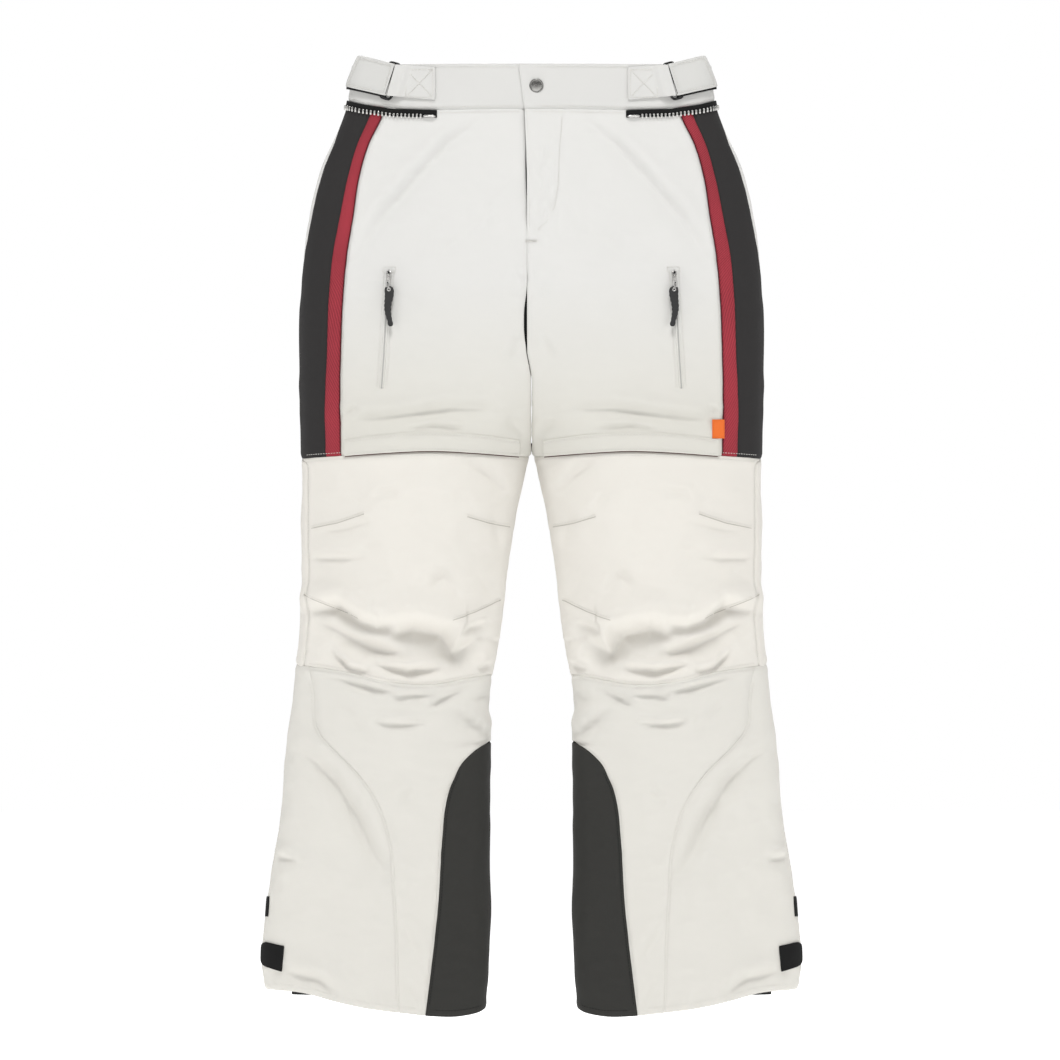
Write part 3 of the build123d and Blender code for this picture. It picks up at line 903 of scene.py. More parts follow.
def lower_leg(name, side):
    """Knee, calf and scuff guard panels of one leg."""
    knee = panel(f"knee_front_{name}", side, "front", inner_end(), outer_end(lambda z: -knee_wrap(z)),
                 low_edge, knee_seam, IVORY_WARM_LIT)
    knee_back = panel(f"knee_back_{name}", side, "back", inner_end(), outer_end(knee_wrap), low_edge,
                      back_knee, IVORY_WARM_LIT, cell=3.0)
    knee_blend(knee, "ivory_shell", name, f"knee_front_{name}")
    knee_blend(knee_back, "ivory_shell", name, f"knee_back_{name}")
    calf = panel(f"calf_front_{name}", side, "front", at(guard_curve), at(calf_curve), knee_seam, hem,
                 IVORY_LOW_SHADED, "ltb")
    calf_side = panel(f"calf_side_{name}", side, "front", at(calf_curve), outer_end(), knee_seam, hem,
                      IVORY_LOW_SHADED, "rtb")
    calf_back = panel(f"calf_back_{name}", side, "back", at(guard_curve), outer_end(), back_knee, hem,
                      IVORY_LOW_SHADED, cell=3.0)
    guard = panel(f"scuff_guard_{name}", side, "front", across_to(guard_curve), at(guard_curve),
                  level(-752), hem, GUARD, "lrb")
    for piece, node in ((calf, "calf_front"), (calf_side, "calf_side"), (calf_back, "calf_back")):
        stand(piece, f"shin_{name}", "ivory_shell", f"{node}_{name}")
    stand(guard, f"shin_{name}", "guard_fabric", f"scuff_guard_{name}")


for name, side in SIDES:
    hips(name, side)
    lower_leg(name, side)


# ---------------------------------------------------------------- small parts

def loft_bar(name, centres, widths, depths, across, out, mat, power=2.6, around=14):
    """Solid bar along centres, with rounded sections of a half width and a half depth."""
    centres = np.asarray(centres, float)
    across, out = np.asarray(across, float), np.asarray(out, float)
    angle = np.linspace(0, 2 * math.pi, around, endpoint=False)
    c, s = np.cos(angle), np.sin(angle)
    ring_w = np.sign(c) * np.abs(c) ** (2 / power)
    ring_d = np.sign(s) * np.abs(s) ** (2 / power)
    verts = (centres[:, None] + np.asarray(widths)[:, None, None] * ring_w[None, :, None] * across
             + np.asarray(depths)[:, None, None] * ring_d[None, :, None] * out).reshape(-1, 3)
    return fix_normals(new_mesh(name, verts, ring_faces(len(centres), around), mat))


def fix_normals(obj):
    """Turns all faces outwards."""
    select([obj])
    bpy.ops.object.mode_set(mode="EDIT")
    bpy.ops.mesh.select_all(action="SELECT")
    bpy.ops.mesh.normals_make_consistent(inside=False)
    bpy.ops.object.mode_set(mode="OBJECT")
    return obj


def lathe(name, profile, centre, axis, mat, around=40):
    """Solid turned from (radius, height) points about an axis through centre."""
    axis = unit(np.asarray(axis, float))
    a = unit(np.cross(axis, (1, 0, 0.01)))
    b = np.cross(axis, a)
    angle = np.linspace(0, 2 * math.pi, around, endpoint=False)[:, None]
    turn = a * np.cos(angle) + b * np.sin(angle)
    verts = np.concatenate([np.asarray(centre) + axis * height + radius * turn for radius, height in profile])
    return fix_normals(new_mesh(name, verts, ring_faces(len(profile), around), mat))


def plate(name, side, face, quad, lift, thickness, mat, cell=1.5, round_by=0.0, bulge=0.0, rise=None):
    """Strap or label over the cloth.

    Its corners (x, z) are the inner top, outer top, outer low and inner low."""
    quad = np.asarray(quad, float)
    width = np.linalg.norm(quad[1] - quad[0])
    height = np.linalg.norm(quad[3] - quad[0])
    v, u = np.meshgrid(np.linspace(0, 1, max(5, int(height / cell))),
                       np.linspace(0, 1, max(5, int(width / cell))), indexing="ij")
    if round_by:
        cx, cy = 2 * u - 1, 2 * v - 1
        shrink = round_by / max(width, height)
        u = 0.5 + 0.5 * cx * (1 - shrink * np.maximum(cx, 0) ** 4 * cy ** 4)
        v = 0.5 + 0.5 * cy * (1 - shrink * np.maximum(cx, 0) ** 4 * cy ** 4)
    grid = ((1 - u) * (1 - v))[..., None] * quad[0] + (u * (1 - v))[..., None] * quad[1] \
        + (u * v)[..., None] * quad[2] + ((1 - u) * v)[..., None] * quad[3]
    x, z = grid[..., 0], grid[..., 1]
    arch = bulge * np.sin(u * math.pi) * np.sin(v * math.pi)
    if rise:
        arch = arch + rise(x, z)
    cloth = Cloth(z, face, lift)
    points, normals = on_half(side, cloth.place(cloth.along(x), arch, folds=False), z)
    return sheet_mesh(name, points, normals, np.stack([x, z], -1), mat, thickness,
                      (side < 0) ^ (face == "back"))


TAB_CLIMB, TAB_CLIMB_FROM, TAB_CLIMB_OVER = 4.4, 20, 9


def tab_rise(x, z):
    """The waist tab climbs over the ring's inner bar."""
    start = 151.3 - 0.294 * z - TAB_CLIMB_FROM
    return TAB_CLIMB * smooth(between(x, start, start + TAB_CLIMB_OVER))


CORNER_REACH = 1.35     # how much farther in a corner is than the edges beside it


def inset_loop(quad, by):
    """Closed rectangle of points a distance inside a quad."""
    quad = np.asarray(quad, float)
    middle = quad.mean(0)
    inside = quad + unit(middle - quad) * by * CORNER_REACH
    return np.concatenate([inside, inside[:1]])


def spread(points, count=60):
    """Evenly spaced points along a polyline."""
    points = np.asarray(points, float)
    reach = reach_along(points)
    t = np.linspace(0, reach[-1], count)
    return np.stack([np.interp(t, reach, points[:, k]) for k in range(points.shape[1])], -1)


def on_cloth(side, face, points, lift, count=60, folds=True, grow=0.0):
    """Evenly spaced points on the cloth along a polyline of (x, z)."""
    points = spread(points, count)
    return surface(side, face, points[:, 0], points[:, 1], lift, folds, grow)[0]


def down_line(curve, high, low, shift, side, face, lift=0.3, count=120):
    """Line on the cloth beside a seam x(z), shifted sideways."""
    z = np.linspace(high, low, count)
    return surface(side, face, curve(z) + shift, z, lift)[0]


def across_line(curve, x_from, x_to, drop, side, face, lift=0.3, count=120):
    """Line on the cloth beside a seam z(x), shifted up or down."""
    x = np.linspace(x_from, x_to, count)
    return surface(side, face, x, curve(x) + drop, lift)[0]


def end_line(side, face, high, low, inset, lift=0.3, count=120):
    """Line at an arc length short of the side seam."""
    z = np.linspace(high, low, count)
    cloth = Cloth(z, face)
    return on_half(side, cloth.place(cloth.full - inset, np.full(z.shape, lift)), z)[0]


# Flat parts go by their corners (x, z): inner top, outer top, outer low, inner low.
# Waist adjuster
TAB = [(108, -3.5), (150.6, -0.5), (160.2, -34.5), (108, -39.5)]
BOX_STITCH = [(110, -6), (140, -6), (140, -37), (110, -37)]
RING = [(157.0, -18.2), (17.0, 43.5), 16.0]     # centre, size, tilt in degrees
# Black line along the gap between the tab and the strap: partly the ring's own bar, partly painted shade in
# that gap.
RING_BAR_SHADE_LINE = [(151.6, -2.5), (161.4, -33)]        # seen between the tab and the strap
RING_HALF, RING_CORNER = 1.35, 0.45             # half its thickness; smaller makes squarer corners
STRAP = [(152.5, 0), (194.5, 11), (209, -23.5), (162.5, -34.5)]
STRAP_HOOK_SHIFT = (0.0, -2.3)                  # dark hook tape, seen below the strap's edge
TAB_LIFT, RING_LIFT, STRAP_HOOK_LIFT, STRAP_LIFT = 2.4, 3.2, 3.9, 6.0
# Press stud
SNAP = (5.4, -24.5)
# Hand pocket
POCKET_TOP, POCKET_END = (158.5, -229), (166.6, -361.5)
WELT_SHIFT, POCKET_STITCH = 1.5, 5.5            # from the middle of the zip
POCKET_HEAD = [(151, -226), (165, -226), (165.6, -232.5), (151.6, -232.5), (151, -226)]
BAG_INNER, BAG_TOP, BAG_LOW = 116, -212, -392
SLIDER = (158.6, -237.5)
PULLER_TIP = (156.5, -292.0)
# Jacket zip: teeth hang TOOTH_DROP below the tape's top edge; the pitch is stepped out round the
# waist at the height that the edge has at TOOTH_X
TAPE_INNER, TAPE_DEPTH, TAPE_LIFT = 105, 8.8, 1.5
TOOTH_PITCH, TOOTH_DROP, TOOTH_LIFT, TOOTH_X = 4.4, 7.6, 1.9, 170.0
# One tooth from foot to top: height, half width, half thickness
TOOTH = [(-2.7, 0.9, 0.5), (-2.0, 1.25, 1.0), (0.0, 0.95, 1.2), (2.0, 1.25, 1.0), (2.7, 0.8, 0.5)]
# Zip round the thigh: flap, and the top and the foot of each half
FLAP_INNER, FLAP_OUTER, FLAP_LIFT = 14, 208, 2.0
UPPER_HALF, LOWER_HALF = (-422, -434.2), (-434.6, -446)
COIL_BEAD, COIL_LIFT = 0.2, -2.4
# Label, ankle and knee
LABEL = [(201.4, -396), (214.8, -396), (214.8, -416.8), (201.4, -416.8)]
ANKLE_TAB = [(276.5, -983), (302.3, -978), (303.2, -1004), (279, -1011)]
ANKLE_STRIP = [(293.2, -928), (296.4, -928), (297.8, -950), (294.6, -950)]
DARTS = [[(245, -517), (215, -511), (185, -501)], [(73, -504), (50, -511), (25, -515.5)],
         [(250.5, -591), (222, -606), (195, -617)], [(92, -619), (65, -610), (37, -597)]]


def zip_line_top(x):
    """Top edge of the jacket zip's tape on the front."""
    return np.interp(x, [105, 154, 190, 207, 215], [-51.2, -49.4, -44.1, -39.4, -37.5])


def back_zip_top(x):
    """Top edge of the jacket zip's tape on the back."""
    return np.interp(x, [0, 120, 215], [-51.2, -48.2, -37.5])


def tooth(tape_top, face, side, s):
    """One tooth of the jacket zip, at an arc length round the waist."""
    x = Cloth(tape_top(np.array([TOOTH_X])), face).flat_place(np.array([s]))[0]
    z = tape_top(x) - TOOTH_DROP
    here = Cloth(z, face)
    px, py, nx, ny = here.place(np.minimum(np.array([s]), here.full), np.array([TOOTH_LIFT]))
    out = np.array([side * nx[0], ny[0], 0])
    rise, half_wide, half_thick = np.array(TOOTH).T
    line = np.array([side * px[0], py[0], z[0]]) + rise[:, None] * np.array([0, 0, 1.0])
    return loft_bar("tooth", line, half_wide, half_thick, np.cross(out, (0, 0, 1.0)), out, TEETH, power=4,
                    around=8)


def jacket_zip(name, side):
    """Tape, teeth and end pin of the zip half under the waistband."""
    for part, face, inner, line, cell in (("", "front", upright(TAPE_INNER), zip_line_top, 1.6),
                                          ("_back", "back", centre, back_zip_top, 2.2)):
        tape = panel(f"jacket_tape{part}_{name}", side, face, inner, outer_end(), line,
                     lambda x, line=line: line(x) - TAPE_DEPTH, WEBBING, "", lift=TAPE_LIFT, thickness=1.0,
                     cell=cell, sheet=False)
        stand(tape, "garment", "black_webbing", "jacket_zip_tape")
    teeth = []
    for face, line, first in (("front", zip_line_top, 123.0), ("back", back_zip_top, 1.0)):
        cloth = Cloth(line(np.array([TOOTH_X])), face)
        s_from = float(cloth.along(np.array([first]))[0])
        teeth += [tooth(line, face, side, s) for s in np.arange(s_from, float(cloth.full[0]), TOOTH_PITCH)]
    stand(join(f"jacket_teeth_{name}", teeth), "garment", "zip_metal", "jacket_zip_teeth")
    x = np.linspace(106.5, 120.5, 9)
    pin = tube(f"jacket_pin_{name}", surface(side, "front", x, zip_line_top(x) - 7.2, 2.2)[0],
               np.array([0.6, 1.4, 1.6, 1.6, 1.6, 1.6, 1.6, 1.4, 0.6]), TEETH, sides=10)
    stand(pin, "garment", "zip_metal")


def waist_adjuster(name, side):
    """Stitched tab, ring, and strap with its hook tape."""
    tab = plate(f"waist_tab_{name}", side, "front", TAB, TAB_LIFT, 1.8, IVORY_BAND_SHADED, cell=1.8, rise=tab_rise)
    stand(tab, "garment", "ivory_shell", f"waist_tab_{name}")
    box = BOX_STITCH + [BOX_STITCH[0]]
    lines = [on_cloth(side, "front", path, 0.25, 80, False, TAB_LIFT)
             for path in (box, BOX_STITCH[::2], BOX_STITCH[1::2])]
    sew(f"waist_tab_stitches_{name}", lines, radius=0.4)
    (cx, cz), (rw, rh), tilt = RING
    corner = np.radians(tilt)
    t = np.linspace(0, 2 * math.pi, 48, endpoint=False)
    ex = (rw / 2 - 1.2) * np.sign(np.cos(t)) * np.abs(np.cos(t)) ** RING_CORNER
    ez = (rh / 2 - 1.2) * np.sign(np.sin(t)) * np.abs(np.sin(t)) ** RING_CORNER
    ring_x = cx + ex * math.cos(corner) - ez * math.sin(corner)
    ring_z = cz + ex * math.sin(corner) + ez * math.cos(corner)
    ring_points = surface(side, "front", ring_x, ring_z, RING_LIFT, folds=False)[0]
    ring = tube("ring", ring_points, RING_HALF, BLACK_METAL, closed=True, sides=12)
    # black tube over the ring's bar, which also paints the shade in the gap between tab and strap
    bar = tube("bar", on_cloth(side, "front", RING_BAR_SHADE_LINE, 5.5, 20, False), 0.65, BLACK_METAL)
    stand(join(f"waist_ring_{name}", [ring, bar]), "garment", "black_metal", f"waist_ring_{name}")
    strap = plate(f"waist_strap_{name}", side, "front", STRAP, STRAP_LIFT, 2.0, STRAP_CLOTH_SHADED, cell=1.6,
                  round_by=2.0, bulge=0.4)
    stand(strap, f"waist_strap_{name}", "ivory_shell", f"waist_strap_{name}")
    hook_quad = np.array(STRAP) + STRAP_HOOK_SHIFT
    backing = plate(f"waist_strap_hook_{name}", side, "front", hook_quad, STRAP_HOOK_LIFT, 0.9,
                    WEBBING, cell=1.8)
    stand(backing, f"waist_strap_{name}", "black_webbing")
    loop = on_cloth(side, "front", inset_loop(STRAP, 3.2), 0.35, 140, False, STRAP_LIFT + 0.2)
    sew(f"waist_strap_stitches_{name}", [loop], f"waist_strap_{name}")


def pocket_zip(name, side):
    """Thin zip between two welts, with the pocket bag behind it."""
    slot_line = np.array([POCKET_TOP, POCKET_END])
    fine = np.concatenate([[0.3], np.full(58, 0.95), [0.3]])
    welts = [tube("welt", on_cloth(side, "front", slot_line + (shift, 0), 0.2), fine, IVORY, sides=8)
             for shift in (-WELT_SHIFT, WELT_SHIFT)]
    stand(join(f"pocket_welt_{name}", welts), "garment", "ivory_shell")
    coil = tube(f"pocket_coil_{name}", on_cloth(side, "front", slot_line, 0.1), 0.75, LINING, sides=6)
    stand(coil, "garment", "black_webbing", f"pocket_zip_{name}")
    bag = panel(f"pocket_bag_{name}", side, "front", upright(BAG_INNER),
                at(lambda z: np.interp(z, [BAG_LOW, -290, BAG_TOP], [196, 198, 176])), level(BAG_TOP),
                level(BAG_LOW), LINING, "", lift=-3.2, thickness=0.8, cell=5.0)
    stand(bag, "garment", "lining", f"pocket_bag_{name}")
    pocket_lines = [on_cloth(side, "front", POCKET_HEAD, 0.3, 50)]
    for shift in (POCKET_STITCH, -POCKET_STITCH):
        pocket_lines.append(on_cloth(side, "front", slot_line + (shift, 0), 0.3, 90))
    sew(f"pocket_stitches_{name}", pocket_lines)


def pocket_slider(name, side):
    """Slider with its bridge and two rivets. Returns its middle, and its way out and down."""
    base, normal = surface(side, "front", *SLIDER, 3.0)
    out = unit(normal)
    down = unit(np.array([0.063 * side, -0.05, -1.0]))
    wide = np.cross(out, down)
    steps = np.array([-7.2, -6.6, -4.5, -1.0, 2.0, 4.5, 6.2, 6.8])
    body = loft_bar("slider", base + steps[:, None] * down, [1.6, 2.6, 3.1, 2.4, 2.2, 2.9, 2.6, 1.5],
                    [0.7, 1.2, 1.5, 1.9, 1.9, 1.5, 1.2, 0.6], wide, out, STEEL, power=3.5)
    arch = np.array([[-4.0, 0], [-2.5, 1.5], [0, 1.9], [2.5, 1.5], [4.0, 0]])
    bridge = tube("bridge", base + out * 1.5 + arch @ np.array([down, out]), 0.8, STEEL, sides=8)
    stand(join(f"pocket_slider_{name}", [body, bridge]), f"pocket_slider_{name}", "zip_metal",
          f"pocket_slider_{name}")
    dots = [lathe("dot", [(0.2, 0), (1.3, 0.2), (1.4, 0.8), (0.9, 1.3), (0.2, 1.4)],
                  base + down * d + out * 0.9, out, BLACK_METAL, 16) for d in (-5.6, 5.4)]
    stand(join(f"pocket_slider_dots_{name}", dots), f"pocket_slider_{name}", "black_metal")
    return base, out, down


def pocket_puller(name, side, base, out, down):
    """Rubber puller that hangs from the slider's bridge on a short loop."""
    hang = base + out * 2.4 + down * 5.0
    tip = surface(side, "front", *PULLER_TIP, 6.0)[0]
    length = np.linalg.norm(tip - hang)
    run = unit(tip - hang)
    sideways = unit(np.cross(run, out))
    t = np.linspace(0, 2 * math.pi, 28, endpoint=False)
    around = run * (2.8 - 3.4 * np.cos(t))[:, None] + sideways * (1.7 * np.sin(t))[:, None]
    cord_loop = tube("loop", hang + around + out * 1.5, 0.7, LINING, closed=True, sides=8)
    t = np.linspace(0, 1, 48)
    wave = 0.3 * np.sin(t * 2 * math.pi * 9)
    half = np.interp(t, [0, 0.03, 0.09, 0.2, 0.45, 0.7, 0.86, 0.94, 0.98, 1],
                     [1.8, 4.2, 5.3, 5.2, 4.2, 3.3, 2.7, 3.1, 2.6, 1.2])
    lean = 1.3 * np.sin(t * 2 * math.pi * 1.15 + 0.5)
    line = hang + run * (5.0 + t * (length - 4.6))[:, None] + sideways * (lean * side)[:, None] + out * 1.0
    thick = np.interp(t, [0, 0.06, 0.9, 1], [0.6, 1.5, 1.5, 0.6]) + 0.25 * np.cos(t * 2 * math.pi * 16)
    grip = loft_bar("grip", line, half + wave * np.sin(math.pi * t), thick, sideways, out, RUBBER, power=3.0,
                    around=18)
    profile = [(1.0, -0.6), (2.1, -0.4), (2.3, 0.2), (1.9, 0.6), (1.1, 0.5), (1.0, -0.6)]
    eyelet = lathe("eyelet", profile, line[4] + out * 1.5, out, STEEL, 20)
    body = f"pocket_puller_{name}"
    stand(join(f"pocket_puller_eye_{name}", [eyelet, cord_loop]), body, "zip_metal")
    stand(join(body, [grip]), body, "black_rubber", body)


def pocket(name, side):
    pocket_zip(name, side)
    pocket_puller(name, side, *pocket_slider(name, side))


def thigh_zip(name, side):
    """Zip round the thigh: flap, the dark line under it, which is partly its reddish edge and partly painted
    shadow of the flap, and a half on each side of the split.
    """
    flap = panel(f"thigh_flap_{name}", side, "front", upright(FLAP_INNER), upright(FLAP_OUTER), flap_top,
                 flap_low, IVORY, "t", lift=FLAP_LIFT, thickness=1.6, cell=2.2)
    stand(flap, "garment", "ivory_shell", f"thigh_flap_{name}")
    ends = (FLAP_INNER + 1, FLAP_OUTER - 1)
    sew(f"thigh_flap_stitches_{name}", [across_line(flap_top, *ends, -2.6, side, "front", FLAP_LIFT + 0.1),
                                        across_line(flap_low, *ends, 2.6, side, "front", FLAP_LIFT + 0.3)])
    # dark cord under the flap's lower edge, partly its reddish edge and partly a painted shadow of the flap
    piping = across_line(flap_low, *ends, -0.6, side, "front")
    stand(tube(f"thigh_zip_piping_{name}", piping, 0.5, FLAP_EDGE_SHADOW_CORD, sides=6), "garment", "red_twill")
    for half_name, body, node, (high, low) in (
            ("upper", "garment", "leg_zip_upper", UPPER_HALF),
            ("lower", f"lower_leg_{name}", "leg_zip_lower", LOWER_HALF)):
        for face in ("front", "back"):
            strip = panel(f"leg_zip_{half_name}_{face}_{name}", side, face, inner_end(), outer_end(),
                          level(high), level(low), WEBBING, "", lift=-2.6, thickness=1.0, cell=3.5,
                          sheet=False)
            stand(strip, body, "black_webbing", f"{node}_{name}")
            edge = low + 0.8 if half_name == "upper" else high - 0.8
            z = np.full(90, float(edge))
            cloth = Cloth(z, face)
            s = np.linspace(-1, 1, 90) * cloth.full * 0.99
            line = on_half(side, cloth.place(s, np.full(90, COIL_LIFT)), z)[0]
            zip_coil = tube(f"leg_coil_{half_name}_{face}_{name}", line,
                            0.9 + COIL_BEAD * np.cos(np.arange(90) * math.pi), BLACK_METAL, sides=6)
            stand(zip_coil, body, "black_webbing")


def ankle(name, side):
    """Peel-off tab, and the small strip above it."""
    tab = plate(f"ankle_tab_{name}", side, "front", ANKLE_TAB, 2.6, 2.0, WEBBING, cell=1.0, round_by=4.0,
                bulge=0.5)
    stand(tab, f"ankle_tab_{name}", "black_webbing", f"ankle_tab_{name}")
    strip = plate(f"ankle_strip_{name}", side, "front", ANKLE_STRIP, 1.2, 1.0, WEBBING, cell=1.0)
    stand(strip, f"shin_{name}", "black_webbing")


for name, side in SIDES:
    for build in (jacket_zip, waist_adjuster, pocket, thigh_zip, ankle):
        build(name, side)


# Inner gaiter: height, outer and inner side, depth in front and behind
GAITER = [(-1038, 268, 92, 27, 30), (-1020, 269, 88, 26, 29), (-960, 272, 80, 24, 28),
          (-880, 268, 70, 22, 26)]
GAITER_TOP, GAITER_FOOT = -880, -1037.5
GAITER_TALL = 0.158     # metres of cloth from top to foot
RUFFLES = 34            # gathers round its foot


def gaiter_mesh(name, side):
    """Inner gaiter, closed all round and gathered towards its foot."""
    rows, cols = 56, 240
    z = np.linspace(GAITER_TOP, GAITER_FOOT, rows)
    heights, *columns = np.array(GAITER, float).T
    values = [hermite(z, heights, column) for column in columns]
    verts, uvs = [], []
    for thickness in (0.0, -1.0):
        for i in range(rows):
            outer, inner, front, back = [v[i] for v in values]
            centre_x, half = (outer + inner) / 2, (outer - inner) / 2
            angle = np.linspace(0, 2 * math.pi, cols, endpoint=False)
            depth = np.where(np.sin(angle) < 0, front, back)
            c, s = np.cos(angle), np.sin(angle)
            px = half * np.sign(c) * np.abs(c) ** 0.72
            py = depth * np.sign(s) * np.abs(s) ** 0.8
            low = between(z[i], -960, -1020)
            wave = np.sin(angle * RUFFLES + 2 * np.sin(angle * 5))
            ruffle = low * (1.1 * wave - 1.0) + thickness
            radius = np.hypot(px, py)
            px, py = px * (1 + ruffle / radius), py * (1 + ruffle / radius)
            verts.append(np.stack([side * (centre_x + px), py, np.full(cols, z[i])], -1))
            uvs.append(np.stack([angle * 100, np.full(cols, z[i])], -1))
    verts = np.concatenate(verts)
    faces = []
    count = rows * cols
    for k in range(cols):
        m = (k + 1) % cols
        for i in range(rows - 1):
            a, b, c, d = i * cols + k, i * cols + m, (i + 1) * cols + m, (i + 1) * cols + k
            faces += [(a, b, c, d), (count + d, count + c, count + b, count + a)]
        last = count - cols
        faces += [(k, count + k, count + m, m), (last + m, count + last + m, count + last + k, last + k)]
    obj = fix_normals(new_mesh(name, verts, faces, GAITER_CLOTH, np.concatenate(uvs)))
    around = float(2 * (values[0] - values[1]).mean() + 1.2 * (values[2] + values[3]).mean())
    declare(around * MM, GAITER_TALL, around * MM * GAITER_TALL)
    return obj


for name, side in SIDES:
    gaiter = gaiter_mesh(f"snow_gaiter_{name}", side)
    stand(gaiter, f"shin_{name}", "gaiter_fabric", f"snow_gaiter_{name}")
    # knee darts and seam lines
    darts, lines = [], []
    for line in DARTS:
        line = np.array(line, float)
        darts.append(tube("dart", on_cloth(side, "front", line, -0.12, 30), 0.5, SHADOW_THREAD, sides=6))
        lines.append(on_cloth(side, "front", line + (0, 2.6), 0.35, 40))
    knee_blend(join(f"knee_darts_{name}", darts), "ivory_shell", name)
    lines += [across_line(split_low, 6, 250, -4.0, side, "front"),
              across_line(knee_seam, 50, 250, 3.2, side, "front"),
              end_line(side, "front", -442, -664, KNEE_WRAP + 2.8)]
    knee_blend(stitch_mesh(f"knee_stitches_{name}", lines, THREAD), "ivory_shell", name)

    shin = f"shin_{name}"
    sew(f"calf_stitches_{name}", [across_line(knee_seam, 50, 250, -3.2, side, "front"),
                                  down_line(calf_curve, -690, -1045, 2.8, side, "front"),
                                  down_line(guard_curve, -800, -1050, 2.8, side, "front"),
                                  across_line(hem, 130, 290, 7.0, side, "front"),
                                  across_line(hem, 120, 290, 7.0, side, "back"),
                                  down_line(guard_curve, -800, -1050, 2.8, side, "back")], shin)
    guard_lines = [down_line(guard_curve, -790, -1050, -2.8, side, "front"),
                   across_line(hem, 56, 112, 7.0, side, "front")]
    sew(f"guard_stitches_{name}", guard_lines, shin, "guard_fabric", WEBBING)
    sew(f"shell_stitches_{name}", [down_line(stripe_front, -60, -405, -2.8, side, "front"),
                                   across_line(split_low, 212, 250, 3.4, side, "front"),
                                   down_line(lambda z: 0 * z, -60, -420, 3.2, side, "back"),
                                   down_line(lambda z: 0 * z, -60, -420, 6.4, side, "back"),
                                   *[band_stitch(side, *row) for row in BAND_ROWS]])
    cord_line = down_line(stripe_front, -52, -434, 0.2, side, "front", 0.1, 200)
    stand(tube(f"stripe_piping_{name}", cord_line, 0.55, RED_EDGE, sides=6), "garment", "red_twill")

# hanger loops inside the back of the waistband
for name, side in SIDES:
    t = np.linspace(0, 1, 24)
    x = 98 + 34 * t
    z = -8 - 34 * np.sin(math.pi * t) ** 0.8
    path = surface(side, "back", x, z, -5.2, folds=False)[0]
    ribbon = loft_bar(f"hanger_loop_{name}", path, np.full(24, 0.5), np.full(24, 2.6),
                      (0.0, 1.0, 0.0), (0.0, 0.0, 1.0), WEBBING, power=6, around=8)
    stand(ribbon, "garment", "black_webbing", "hanger_loops")

# label on the left front panel, against the stripe
label = plate("side_label", LEFT, "front", LABEL, 1.5, 0.8, ORANGE, cell=0.9, bulge=0.5)
stand(label, "garment", "orange_label", "side_label")
label_line = on_cloth(LEFT, "front", inset_loop(LABEL, 1.4), 0.2, 60, False, 1.7)
sew("side_label_stitches", [label_line], "garment", "orange_label", ORANGE, length=1.4, gap=0.8, radius=0.22)


# ---------------------------------------------------------------- fly

def flat_strip(name, x_low, x_high, z_high, z_low, lift, thickness, mat, cell=2.2):
    """Upright strip behind the fly."""
    z, x = np.meshgrid(np.linspace(z_high, z_low, int((z_high - z_low) / cell)),
                       np.linspace(x_low, x_high, max(4, int((x_high - x_low) / cell))), indexing="ij")
    points, normals = surface(LEFT, "front", x, z, lift, folds=False)
    return sheet_mesh(name, points, normals, np.stack([x, z], -1), mat, thickness, False)


UNDERLAP_LEFT, UNDERLAP_RIGHT = -22, 24
UNDERLAP_TOP, UNDERLAP_LOW = -2.5, -191
underlap = flat_strip("fly_underlap", UNDERLAP_LEFT, UNDERLAP_RIGHT, UNDERLAP_TOP, UNDERLAP_LOW, -7.2, 1.8,
                      IVORY)
wide, tall = (UNDERLAP_RIGHT - UNDERLAP_LEFT) * MM, (UNDERLAP_TOP - UNDERLAP_LOW) * MM
declare(wide, tall, wide * tall)
stand(underlap, "garment", "ivory_shell", "fly_underlap")
fly_tape = flat_strip("fly_zip_tape", -11, 20, -52, -189, -5.6, 1.0, WEBBING)
stand(fly_tape, "garment", "black_webbing", "fly_zip")
FLY_COIL_X = 7.0
z = np.linspace(-54, -186, 120)
fly_coil = tube("fly_zip_coil", surface(LEFT, "front", z * 0 + FLY_COIL_X, z, -5.2, folds=False)[0],
                1.3 + 0.35 * np.cos(np.arange(120) * math.pi), BLACK_METAL, sides=8)
stand(fly_coil, "garment", "black_metal")
base, out = surface(LEFT, "front", FLY_COIL_X, -60.0, -4.2, folds=False)
down = np.array([0, -0.066, -0.998])
wide = np.array([1.0, 0, 0])
steps = np.array([-5.4, -4.6, -2, 1, 3.6, 5.2, 5.6])
fly_slider = loft_bar("fly_slider", base + steps[:, None] * down, [2.0, 3.9, 4.3, 3.2, 3.9, 3.2, 1.6],
                      [0.3, 0.6, 0.7, 0.7, 0.7, 0.5, 0.3], wide, out, BLACK_METAL, power=3.5)
stand(fly_slider, "fly_slider", "black_metal", "fly_slider")
steps = np.linspace(5.5, 30, 20)
half_wide = np.interp(steps, [5.5, 7, 12, 26, 29, 30], [1.2, 2.2, 2.8, 3.0, 2.4, 1.0])
half_thick = np.interp(steps, [5.5, 7, 26, 30], [0.3, 0.5, 0.5, 0.3])
fly_pull = loft_bar("fly_puller", base + out * 1.3 + steps[:, None] * down, half_wide, half_thick, wide, out,
                    BLACK_METAL, power=3.5)
stand(fly_pull, "fly_slider", "black_metal", "fly_puller")

